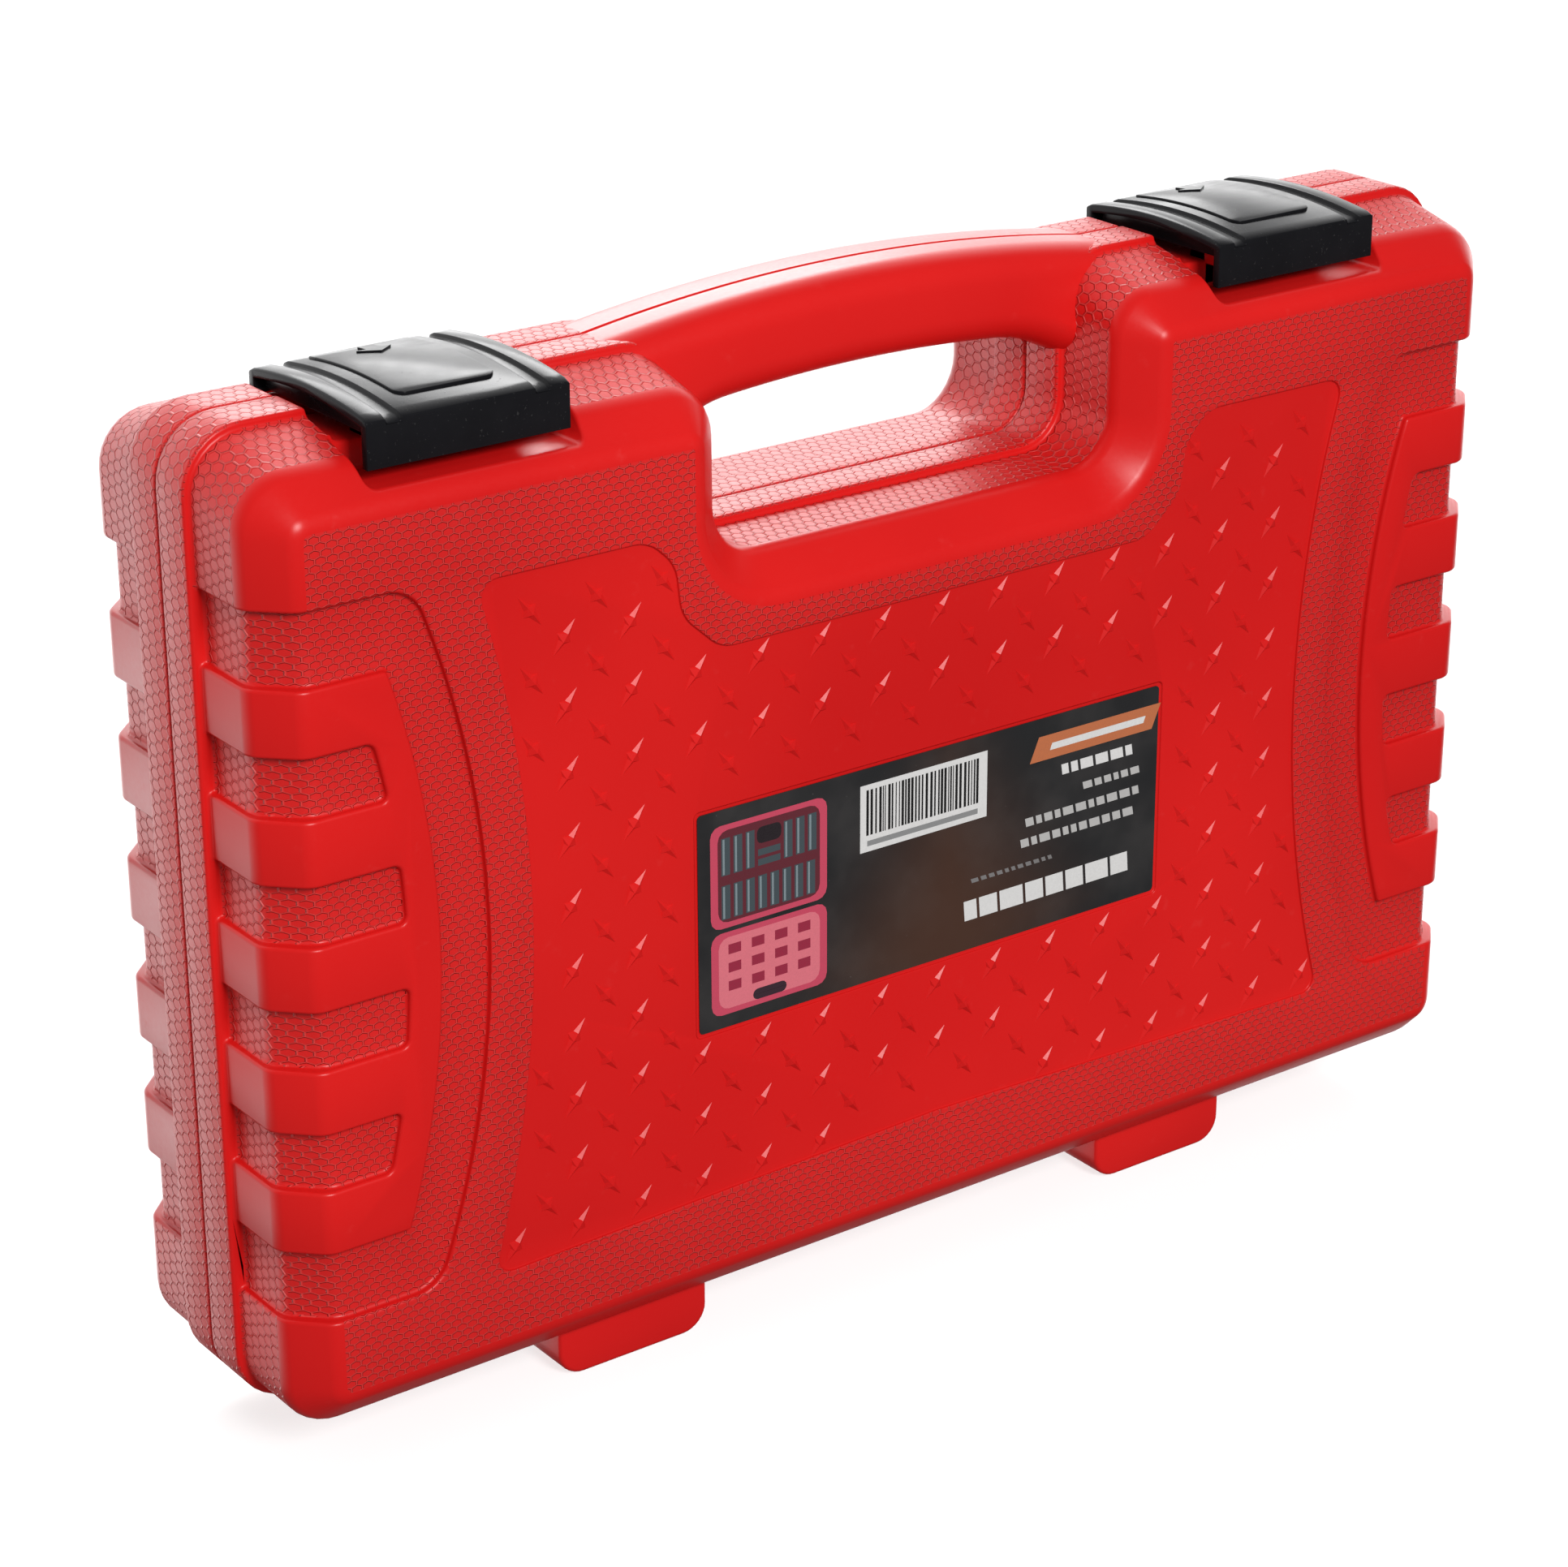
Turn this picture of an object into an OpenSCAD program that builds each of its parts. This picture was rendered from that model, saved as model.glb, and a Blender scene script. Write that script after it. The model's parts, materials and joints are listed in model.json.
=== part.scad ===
// Deep impact socket set in a blow-moulded carrying case.
// The case stands on its hinge side: X runs along the case, -Y is the lid, Z is up.
// The origin is on the ground, under the middle of the hinge line.

/* [Case] */
// Width of the case body, without the joint flange
case_w = 370; // [320:1:460]
// Height of the case body, without feet and handle
case_h = 233; // [225:1:300]
// Depth of one half, from the joint plane to its outer face
half_d = 40.8; // [40.8:0.2:56]
// Radius of the four outer corners
corner_r = 13; // [11:0.5:20]
// Width of the sloping edge round each outer face
chamfer = 9.2; // [7:0.2:10]
// Height that the top wall gains from the sloping edge to the joint plane
crown = 4; // [0:0.5:6]

/* [Joint flange] */
// Height that the flange stands proud of the wall
flange_h = 2; // [1:0.25:3]
// Width of the flange on each half
flange_w = 12.6; // [8:0.2:15]

/* [Handle] */
// Width of the hand opening between its walls
grip_w = 121; // [105:1:140]
// Depth of the hand opening below the top of the body
grip_depth = 42.5; // [38:0.5:60]
// Radius of the lower corners of the hand opening
grip_r = 13; // [8:0.5:18]
// Radius where the hand opening meets the top of the body
tower_r = 8; // [4:0.5:12]
// Thickness of the handle bar from top to bottom
bar_h = 23.5; // [18:0.5:28]
// Half of the handle bar's thickness from front to back
bar_d = 15; // [12:0.5:18]
// Rounding of the handle bar
bar_r = 8; // [4:0.5:9]
// Height of the handle bar's middle above the top of the body
bar_rise = 12.8; // [9:0.1:20]
// Height that the bar drops from its middle to its ends
bar_sag = 6.3; // [3:0.1:10]
// Length of the bar that is sunk into each side wall of the opening
bar_sunk = 16; // [12:1:18]

/* [Outer faces] */
// Depth of the tread panel below the face
panel_depth = 0.8; // [0.4:0.1:1.2]
// Depth of the finger recess at each side
recess_depth = 2; // [1:0.25:2.5]
// Height of the finger recess
recess_h = 173.5; // [150:0.5:180]
// Radius of the curved edge of the finger recess
recess_r = 233; // [200:1:260]
// Distance from the side wall to the middle of that curved edge
recess_w = 54.7; // [50:0.1:60]
// Width of the back of the comb
comb_spine = 8.5; // [6:0.5:10]
// Distance from the edge of the recess to the comb
comb_edge = 13; // [9:0.5:15]
// Number of teeth in the comb
comb_teeth = 5; // [3:1:6]
// Distance between the middles of two teeth
comb_pitch = 30.5; // [26:0.5:30.5]
// Height of one tooth
comb_tooth = 16; // [10:0.5:18]

/* [Label] */
// Width of the label
label_w = 144; // [100:1:150]
// Height of the label
label_h = 57; // [40:1:60]
// Thickness of the label
label_t = 0.3; // [0.2:0.05:0.4]
// Gap round the label in its recess
label_gap = 1; // [0.5:0.25:2]
// Depth of the label's recess below the tread panel
label_depth = 0.5; // [0.4:0.05:0.8]
// Height of the label's middle above the bottom of the body
label_z = 102.4; // [80:0.5:110]

/* [Walls] */
// Wall between the outer face and the hollow
wall_face = 3; // [2:0.25:4]
// Wall between the outer sides and the hollow
wall_side = 5; // [4.5:0.25:6]
// Wall of the inner tray and of the nests
wall_tray = 2.5; // [2:0.25:3]
// Distance from the outer side of the body to the inner tray
tray_edge = 12; // [11:0.5:13]
// Depth of the lid's tray
lid_tray = 20; // [18:0.5:24]
// Depth of the base's deck below the joint plane
base_deck = 4; // [2:0.5:6]
// Radius of the blowing hole into each hollow
vent_r = 2; // [1:0.25:3]

/* [Sockets] */
// Length of every socket
socket_l = 78; // [70:1:85]
// Distance from the joint plane to the sockets' axes, into the base
socket_y = 8; // [6:0.5:10]
// Across-flats size of the square drive
drive = 12.9; // [12.7:0.05:13.1]
// Depth of the square drive
drive_depth = 18; // [15:1:22]
// Diameter of the smallest drive end
drive_od = 25; // [24:0.5:27]
// Length of the drive end before the taper
drive_end = 27; // [22:1:32]
// Length of the taper
taper_l = 6; // [3:1:10]
// Radius of the cross hole for the retaining pin
pin_hole_r = 1.6; // [1:0.1:2]
// Distance from the drive end to the cross hole
pin_hole_z = 9; // [7:0.5:11]
// Gap between a socket and its nest
nest_gap = 0.6; // [0.4:0.1:1]
// Gap between a socket and the lid's press pads
pad_gap = 0.8; // [0.5:0.1:2]
// Height of the lower row of nests above the bottom of the body
row_low = 22; // [20:1:26]
// Distance between the two rows of nests
row_gap = 27; // [20:1:34]

/* [Hinges] */
// Height of the feet, which is the gap under the body
foot_h = 13.5; // [13.5:0.25:16]
// Distance from the middle of the case to the middle of each hinge
hinge_x = 86; // [70:1:95]
// Width of one hinge
hinge_w = 44; // [36:1:50]
// Outer radius of the hinge knuckles
knuckle_r = 6.3; // [5.5:0.1:6.3]
// Number of knuckles in one hinge
knuckles = 5; // [3:2:7]
// Gap between two knuckles
knuckle_gap = 0.5; // [0.3:0.1:1]
// Radius of the hinge pin
pin_r = 2; // [1.5:0.1:2.5]
// Running clearance round a pin in the part that turns
run_gap = 0.05; // [0.02:0.01:0.1]
// Clearance round a pin in the part that holds it
hold_gap = 0.02; // [0.01:0.01:0.03]
// Width of each foot on the base
base_foot_w = 38; // [30:1:38]
// Distance from the joint plane to the front of every foot
foot_y = 30; // [26:0.5:31]

/* [Latches] */
// Distance from the middle of the case to the middle of the left latch
latch_x_left = 127; // [122:1:130]
// Distance from the middle of the case to the middle of the right latch
latch_x_right = 118.5; // [118:0.5:130]
// Width of a latch
latch_w = 52.5; // [48:0.5:54]
// Front of the latch, from the joint plane
latch_front = 34; // [33:0.25:35]
// Back of the latch, from the joint plane
latch_back = 17; // [15:0.25:18]
// Height of the latch's top edges above the top of the body
latch_top = 8.5; // [8:0.25:10]
// Height that the latch's top bulges between its edges
latch_arch = 2.2; // [1:0.1:3]
// Wall of the latch
latch_t = 2.2; // [1.8:0.1:2.4]
// Radius of the latch pin
latch_pin_r = 1.25; // [1:0.05:1.4]
// Gap between the latch and the sides of its pocket
pocket_gap = 1.5; // [1:0.25:3]

/* [Hidden] */
// Curves
$fn = 64;
eps = 0.5;
corner_steps = 6;
sharp_r = 0.6;

// Heights
body_z = foot_h;
top_z = body_z + case_h;
grip_z = top_z - grip_depth;
hinge_z = body_z - knuckle_r - 0.9;
mid_z = body_z + 117.5;
sweep_gap = 0.3;

// Layers of a half's outer skin: distance from the joint, inset, rise of the top.
// The last one lies past the outer face, which is then cut flat.
skin_over = 1;
flange_rise = 0.8;
skin = [[3, -0.6, crown], [half_d - chamfer, 0, 0], [half_d + skin_over, chamfer + skin_over, 0]];

// Finger recess and comb
arc_x = case_w / 2 - recess_w + recess_r;
recess_top_r = 10;
recess_steps = 24;

// Tread panel, from the middle of the case to the right
panel_top = body_z + 202;
panel_low = body_z + 28.5;
panel_arc_r = 293;
panel_arc_x = case_w / 2 - 66.3 + panel_arc_r;
panel_arch = 3.5;

// Sockets: the lower row, the two upper groups and the pair under the handle
low_row = [32, 30, 27, 24, 22, 21, 19, 18];
left_row = [17, 16, 15];
right_row = [14, 13, 12];
middle_pair = [11, 10];
pair_gap = 9;
rim = 1.2;
bore_step = 0.3;
hex_share = 0.45;
hex_gap = 0.2;
pad_w = 12;
pad_places = [0.25, 0.75];
row_high = body_z + row_low + socket_l + row_gap;
tray_x = case_w / 2 - tray_edge;
tray_grip_x = grip_w / 2 + tray_edge;
middle_z = grip_z - tray_edge - pair_gap;

// Hinges and feet
knuckle_w = (hinge_w - (knuckles - 1) * knuckle_gap) / knuckles;
base_bar = 9;
foot_r = 7;
foot_gap = 0.8;

// Latch: lugs and knuckles are given as start and length along its pin
lug_spans = [[-20, 5.5], [-3, 6], [14.5, 5.5]];
knuckle_spans = [[-14, 10.5], [3.5, 10.5]];
latch_pin_l = 40;
latch_low = 2.8;
latch_back_low = latch_top - 5.3;
ledge_low = 6;
latch_pivot_y = -28.5;
latch_pivot_z = top_z + 2;
lug_r = 2.7;
latch_knuckle_r = 2.8;
latch_mid_y = (latch_back - latch_front) / 2;
latch_span = latch_back + latch_front;
latch_r = (pow(latch_span / 2, 2) + pow(latch_arch, 2)) / (2 * latch_arch);
platform_y = 22;
lug_block = 16;
lug_drop = 1.9;
platform_low = 1;
catch_floor = -3;
catch_y = 13.3;
catch_w = 3.2;
hook_gap = 0.4;
tongue = [26, 34];
tongue_t = 0.6;
hook_lip = 1.2;
pocket_back = 4.5;
pocket_slope = 0.15;
pocket_rise = 20;
latch_x = [-latch_x_left, latch_x_right];

// ---------- outlines ----------

// One rounded corner: sharp point, inward direction, radius, inset, turn and start angle
function corner(at, inward, r, inset, outer, start) =
    let (rr = outer ? max(r - inset, sharp_r) : r + inset,
         side = outer ? 1 : -1,
         centre = at + inset * inward + side * rr * inward)
    [for (i = [0:corner_steps])
        centre + rr * [cos(start + side * 90 * i / corner_steps),
                       sin(start + side * 90 * i / corner_steps)]];

// The case seen from the front, with its hand opening, drawn in by inset
function outline(inset, rise) =
    let (w = case_w / 2, g = grip_w / 2, top = top_z + rise)
    concat(
        corner([-w, body_z], [1, 1], corner_r, inset, true, 180),
        corner([w, body_z], [-1, 1], corner_r, inset, true, 270),
        corner([w, top], [-1, -1], corner_r, inset, true, 0),
        corner([g, top], [1, -1], tower_r, inset, true, 90),
        corner([g, grip_z], [1, -1], grip_r, inset, false, 0),
        corner([-g, grip_z], [-1, -1], grip_r, inset, false, -90),
        corner([-g, top], [-1, -1], tower_r, inset, true, 0),
        corner([-w, top], [1, -1], corner_r, inset, true, 90));

// A plate with the case's outline, from y = from to y = to on the lid's side
module plate(inset, rise, from, to) {
    translate([0, -from, 0]) rotate([90, 0, 0]) linear_extrude(to - from)
        polygon(outline(inset, rise));
}

// A closed skin through layers of the outline, moved in by deeper
module outer_skin(deeper) {
    n = len(outline(0, 0));
    last = len(skin) - 1;
    points = [for (s = skin, p = outline(s[1] + deeper, s[2])) [p[0], -s[0], p[1]]];
    sides = [for (k = [0:last - 1], i = [0:n - 1])
        [k * n + i, (k + 1) * n + i, (k + 1) * n + (i + 1) % n, k * n + (i + 1) % n]];
    inner_cap = [[for (i = [0:n - 1]) i]];
    face_cap = [[for (i = [n - 1:-1:0]) last * n + i]];
    intersection() {
        polyhedron(points, concat(inner_cap, sides, face_cap), convexity = 6);
        translate([-case_w, deeper - half_d, 0]) cube([2 * case_w, half_d, 2 * case_h]);
    }
}

module on_front(depth) {
    translate([0, -half_d + depth, 0]) rotate([90, 0, 0]) children();
}

module both_sides() {
    children();
    mirror([1, 0, 0]) children();
}

// Points of an arc round at, between two angles
function arc_points(at, r, from, to, steps) =
    [for (i = [0:steps])
        at + r * [cos(from + (to - from) * i / steps), sin(from + (to - from) * i / steps)]];

// The finger recess on the right, seen from the front: its inner edge is a long arc with rounded ends
module recess_2d() {
    rise = recess_h / 2 - recess_top_r;
    turn = asin(rise / (recess_r - recess_top_r));
    end_x = arc_x - (recess_r - recess_top_r) * cos(turn);
    past = case_w / 2 + wall_side;
    polygon(concat(
        [[past, mid_z - recess_h / 2]],
        [[past, mid_z + recess_h / 2]],
        arc_points([end_x, mid_z + rise], recess_top_r, 90, 180 - turn, corner_steps),
        arc_points([arc_x, mid_z], recess_r, 180 - turn, 180 + turn, recess_steps),
        arc_points([end_x, mid_z - rise], recess_top_r, 180 + turn, 270, corner_steps)));
}

// The raised comb on the right, seen from the front
module comb_2d() {
    comb_h = (comb_teeth - 1) * comb_pitch + comb_tooth;
    difference() {
        intersection() {
            translate([arc_x, mid_z]) circle(recess_r - comb_edge, $fn = 180);
            translate([0, mid_z - comb_h / 2]) square([case_w, comb_h]);
        }
        intersection() {
            translate([arc_x, mid_z]) circle(recess_r - comb_edge - comb_spine, $fn = 180);
            for (i = [0:comb_teeth - 2])
                translate([0, mid_z - comb_h / 2 + comb_tooth + i * comb_pitch])
                    square([case_w, comb_pitch - comb_tooth]);
        }
    }
}

// The tread panel, with its notch under the hand opening
module panel_2d() {
    grip = grip_w / 2;
    notch = [[4.5, -30], [15.5, -20], [17, -7], [24.5, 0]];
    difference() {
        polygon(concat(
            [for (p = notch) [grip + p[0], panel_top + p[1]]],
            [[case_w / 2, panel_top], [case_w / 2, panel_low]],
            [[0, panel_low + panel_arch]],
            [[-case_w / 2, panel_low], [-case_w / 2, panel_top]],
            [for (i = [len(notch) - 1:-1:0]) [-grip - notch[i][0], panel_top + notch[i][1]]]));
        both_sides_2d() translate([panel_arc_x, mid_z]) circle(panel_arc_r, $fn = 180);
    }
}

module both_sides_2d() {
    children();
    mirror([1, 0]) children();
}

// ---------- case halves ----------

// The outside of the lid's half, with recesses and combs but no tray
module half_outside() {
    difference() {
        union() {
            difference() {
                outer_skin(0);
                both_sides() side_prism() recess_2d();
            }
            intersection() {
                outer_skin(recess_depth);
                both_sides() side_prism() recess_2d();
            }
            intersection() {
                outer_skin(0);
                both_sides() side_prism() comb_2d();
            }
            plate(-flange_h, crown + flange_rise, 0, flange_w);
        }
        on_front(panel_depth) linear_extrude(panel_depth + eps) panel_2d();
    }
}

module side_prism() {
    translate([0, -flange_w + eps, 0]) rotate([90, 0, 0]) linear_extrude(half_d) children();
}

// The hollow between the outer wall and a tray of the given depth
module half_hollow(tray_depth) {
    difference() {
        union() {
            plate(wall_side, 0, wall_tray, half_d - chamfer - wall_face);
            plate(tray_edge, 0, wall_tray, half_d - wall_face - panel_depth);
        }
        plate(tray_edge - wall_tray, 0, 0, tray_depth + wall_tray);
        for (x = latch_x)
            translate([x - latch_w / 2 - 3 * pocket_gap, -half_d, top_z - ledge_low - wall_face])
                cube([latch_w + 6 * pocket_gap, half_d, case_h]);
    }
}

module half_bar() {
    outer_r = (pow(grip_w / 2 + bar_sunk, 2) + pow(bar_sag, 2)) / (2 * bar_sag);
    half_angle = asin((grip_w / 2 + bar_sunk) / outer_r);
    translate([0, 0, top_z + bar_rise - outer_r]) rotate([90, 0, 0])
        rotate([0, 0, 90 - half_angle]) rotate_extrude(angle = 2 * half_angle, $fn = 720)
            translate([outer_r - bar_h, 0]) bar_2d();
}

// Half of the handle bar's section
module bar_2d() {
    square([bar_h, bar_d - bar_r]);
    translate([bar_r, 0]) square([bar_h - 2 * bar_r, bar_d]);
    intersection() {
        square([bar_h, bar_d]);
        for (x = [bar_r, bar_h - bar_r])
            translate([x, bar_d - bar_r]) circle(bar_r);
    }
}

// A foot seen from the front, standing on the ground
module foot(width) {
    translate([0, -foot_y, 0]) rotate([-90, 0, 0]) mirror([0, 1, 0])
        linear_extrude(foot_y - flange_w - foot_gap) {
            translate([-width / 2, foot_r]) square([width, foot_h - foot_r + wall_face]);
            translate([foot_r - width / 2, 0]) square([width - 2 * foot_r, foot_h]);
            for (x = [-1, 1])
                translate([x * (width / 2 - foot_r), foot_r]) circle(foot_r);
        }
}

// Start of each knuckle: even ones belong to the base, odd ones to the lid
function knuckle_x(i) = -hinge_w / 2 + i * (knuckle_w + knuckle_gap);

module along_x(length, r) {
    rotate([0, 90, 0]) cylinder(h = length, r = r);
}

// Knuckles of one half, each a barrel with a bar that runs back under the body
module knuckle_set(first, bar_len) {
    for (i = [first:2:knuckles - 1])
        translate([knuckle_x(i), 0, hinge_z]) {
            along_x(knuckle_w, knuckle_r);
            translate([0, -bar_len, 0]) cube([knuckle_w, bar_len, body_z - hinge_z + eps]);
        }
}

module knuckle_room(first) {
    for (i = [first:2:knuckles - 1])
        translate([knuckle_x(i) - knuckle_gap, 0, hinge_z])
            along_x(knuckle_w + 2 * knuckle_gap, knuckle_r + sweep_gap);
}

module at_hinges() {
    for (x = [-hinge_x, hinge_x])
        translate([x, 0, 0]) children();
}

module pin_bore(r) {
    translate([-hinge_w / 2 - eps, 0, hinge_z]) along_x(hinge_w + 2 * eps, r);
}

// ---------- sockets ----------

function nut_od(af) = 1.28 * af + 4.2;
function end_od(af) = drive_od + 0.75 * max(0, af - 16);
function max_r(af) = max(nut_od(af), end_od(af)) / 2;
function sum_r(list, i) = i <= 0 ? 0 : max_r(list[i - 1]) + sum_r(list, i - 1);

// Middle of socket i when a list of sockets shares the space from x0 to x1 evenly
function row_x(list, i, x0, x1) =
    let (space = (x1 - x0 - 2 * sum_r(list, len(list))) / (len(list) + 1))
    x0 + (i + 1) * space + 2 * sum_r(list, i) + max_r(list[i]);

// Where every socket lies: [size, x, z, lies along X]
places = concat(
    [for (i = [0:7]) [low_row[i], row_x(low_row, i, -tray_x, tray_x), body_z + row_low, false]],
    [for (i = [0:2]) [left_row[i], row_x(left_row, i, -tray_x, -tray_grip_x), row_high, false]],
    [for (i = [0:2]) [right_row[i], row_x(right_row, i, tray_grip_x, tray_x), row_high, false]],
    [for (i = [0:1]) [middle_pair[i], -socket_l / 2,
        middle_z - drive_od / 2 - i * (drive_od + pair_gap), true]]);

function place_of(af) = [for (p = places) if (p[0] == af) p][0];

module put_socket(p) {
    translate([p[1], socket_y, p[2]]) rotate([0, p[3] ? 90 : 0, 0]) children();
}

module socket_body(af) {
    nut_r = nut_od(af) / 2;
    end_r = end_od(af) / 2;
    bore_r = min(af, drive) / 2 - bore_step;
    hex_depth = socket_l * hex_share;
    difference() {
        rotate_extrude()
            polygon([[0, 0], [end_r - rim, 0], [end_r, rim], [end_r, drive_end],
                [nut_r, drive_end + taper_l], [nut_r, socket_l - rim],
                [nut_r - rim, socket_l], [0, socket_l]]);
        translate([0, 0, -eps]) cylinder(h = socket_l + 2 * eps, r = bore_r);
        translate([-drive / 2, -drive / 2, -eps]) cube([drive, drive, drive_depth + eps]);
        translate([0, 0, socket_l - hex_depth])
            cylinder(h = hex_depth + eps, r = (af + hex_gap) / sqrt(3), $fn = 6);
        translate([0, -end_r - eps, pin_hole_z]) rotate([-90, 0, 0])
            cylinder(h = 2 * end_r + 2 * eps, r = pin_hole_r);
        translate([0, 0, pin_hole_z - pin_hole_r]) rotate_extrude()
            translate([end_r - rim, 0]) square([2 * rim, 2 * pin_hole_r]);
    }
}

module socket(af) {
    color("dimgray") put_socket(place_of(af)) socket_body(af);
}

// The space of a nest, open towards the lid, grown by wall
module nest(p, wall) {
    r = max_r(p[0]) + nest_gap + wall;
    long = socket_l + 2 * (nest_gap + wall);
    put_socket(p) translate([0, 0, -nest_gap - wall]) {
        cylinder(h = long, r = r);
        translate([-r, -socket_y, 0]) cube([2 * r, socket_y, long]);
    }
}

// Two press pads in the lid's tray for one socket
module press_pads(p) {
    reach = lid_tray + socket_y - max_r(p[0]) - pad_gap;
    for (s = pad_places)
        translate([p[1] + (p[3] ? s * socket_l : 0), -lid_tray - eps,
                   p[2] + (p[3] ? 0 : s * socket_l)])
            translate([-pad_w / 2, 0, -pad_w / 2]) cube([pad_w, reach + eps, pad_w]);
}

// ---------- nodes ----------

module pocket_2d() {
    half = latch_w / 2 + pocket_gap;
    top = half + pocket_slope * pocket_rise;
    polygon([[-half, 0], [half, 0], [top, pocket_rise], [-top, pocket_rise]]);
}

module pocket(x, from_y, to_y, floor_z) {
    translate([x, to_y, floor_z]) rotate([90, 0, 0]) linear_extrude(to_y - from_y) pocket_2d();
}

// Lugs of the lid that carry one latch pin
module latch_lugs() {
    for (s = lug_spans)
        translate([s[0], 0, 0]) {
            translate([0, latch_pivot_y, latch_pivot_z]) along_x(s[1], lug_r);
            translate([0, latch_pivot_y, latch_pivot_z - lug_drop])
                cube([s[1], -latch_pivot_y - lug_block, lug_drop + lug_r]);
            translate([0, -platform_y, top_z - ledge_low])
                cube([s[1], platform_y - lug_block, ledge_low + latch_pivot_z - top_z + lug_r]);
        }
}

module lid_shell() {
    color("crimson") difference() {
        union() {
            difference() {
                half_outside();
                half_hollow(lid_tray);
                plate(tray_edge, 0, -eps, lid_tray);
                for (x = latch_x) {
                    pocket(x, -half_d - eps, -platform_y, top_z - ledge_low);
                    pocket(x, -platform_y - eps, eps, top_z + platform_low);
                }
                at_hinges() knuckle_room(0);
            }
            half_bar();
            for (p = places)
                press_pads(p);
            for (x = latch_x)
                translate([x, 0, 0]) latch_lugs();
            at_hinges() {
                foot(hinge_w);
                knuckle_set(1, flange_w + 1);
            }
        }
        on_front(panel_depth + label_depth) translate([0, body_z + label_z])
            linear_extrude(label_depth + eps)
                square([label_w + 2 * label_gap, label_h + 2 * label_gap], center = true);
        at_hinges() pin_bore(pin_r + run_gap);
        for (x = latch_x)
            translate([x - latch_pin_l / 2, latch_pivot_y, latch_pivot_z])
                along_x(latch_pin_l, latch_pin_r + hold_gap);
        translate([0, -lid_tray + eps, row_high - row_gap / 2]) rotate([90, 0, 0])
            cylinder(h = wall_tray + 2 * eps, r = vent_r);
    }
}

module base_shell() {
    foot_x = hinge_x + hinge_w / 2 + base_foot_w / 2 + foot_gap;
    color("firebrick") difference() {
        union() {
            difference() {
                mirror([0, 1, 0]) half_outside();
                difference() {
                    mirror([0, 1, 0]) half_hollow(base_deck);
                    for (p = places)
                        nest(p, wall_tray);
                }
                mirror([0, 1, 0]) plate(tray_edge, 0, -eps, base_deck);
                for (p = places)
                    nest(p, 0);
                for (x = latch_x)
                    pocket(x, -eps, latch_back + pocket_back, top_z + catch_floor);
                at_hinges() knuckle_room(1);
            }
            mirror([0, 1, 0]) half_bar();
            for (x = latch_x)
                translate([x - latch_w / 2, catch_y - catch_w / 2 - hook_gap, top_z + catch_floor - eps])
                    cube([latch_w, catch_w, latch_back_low - hook_gap - catch_floor + eps]);
            at_hinges() mirror([0, 1, 0]) knuckle_set(0, base_bar);
            for (x = [-foot_x, foot_x])
                translate([x, 0, 0]) mirror([0, 1, 0]) foot(base_foot_w);
        }
        at_hinges() pin_bore(pin_r + hold_gap);
        translate([0, base_deck - eps, row_high - row_gap / 2]) rotate([-90, 0, 0])
            cylinder(h = wall_tray + 2 * eps, r = vent_r);
    }
}

module label() {
    color("dimgray") on_front(panel_depth + label_depth) translate([0, body_z + label_z])
        linear_extrude(label_t) square([label_w, label_h], center = true);
}

module hinge_pin(x) {
    color("silver") translate([x - hinge_w / 2, 0, hinge_z]) along_x(hinge_w, pin_r);
}

// Section of a latch from front to back
module latch_2d() {
    low = top_z - latch_low;
    difference() {
        intersection() {
            translate([latch_mid_y, top_z + latch_top + latch_arch - latch_r])
                circle(latch_r, $fn = 360);
            translate([-latch_front, low]) square([latch_span, 4 * latch_top]);
        }
        intersection() {
            translate([latch_mid_y, top_z + latch_top + latch_arch - latch_r])
                circle(latch_r - latch_t, $fn = 360);
            translate([latch_t - latch_front, low - eps])
                square([latch_span - 2 * latch_t, 4 * latch_top]);
        }
        translate([0, low - eps]) square([latch_span, latch_back_low + latch_low + eps]);
    }
    translate([latch_back - latch_t - hook_lip, top_z + latch_back_low])
        square([hook_lip + eps, hook_lip]);
}

module latch(x) {
    color("black") translate([x, 0, 0]) difference() {
        union() {
            translate([-latch_w / 2, 0, 0]) rotate([90, 0, 90]) linear_extrude(latch_w) latch_2d();
            for (s = knuckle_spans)
                translate([s[0], 0, latch_pivot_z]) {
                    translate([0, latch_pivot_y, 0]) along_x(s[1], latch_knuckle_r);
                    translate([0, eps - latch_front, -latch_knuckle_r])
                        cube([s[1], latch_front + latch_pivot_y - eps, 2 * latch_knuckle_r]);
                }
            intersection() {
                translate([-tongue[0] / 2, latch_mid_y - tongue[1] / 2, top_z + latch_top])
                    cube([tongue[0], tongue[1], 3 * latch_arch]);
                translate([-latch_w / 2, latch_mid_y, top_z + latch_top + latch_arch - latch_r])
                    rotate([0, 90, 0]) cylinder(h = latch_w, r = latch_r + tongue_t, $fn = 360);
            }
        }
        translate([-latch_w / 2 - eps, latch_pivot_y, latch_pivot_z])
            along_x(latch_w + 2 * eps, latch_pin_r + run_gap);
    }
}

module latch_pin(x) {
    color("silver") translate([x - latch_pin_l / 2, latch_pivot_y, latch_pivot_z])
        along_x(latch_pin_l, latch_pin_r);
}

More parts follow.
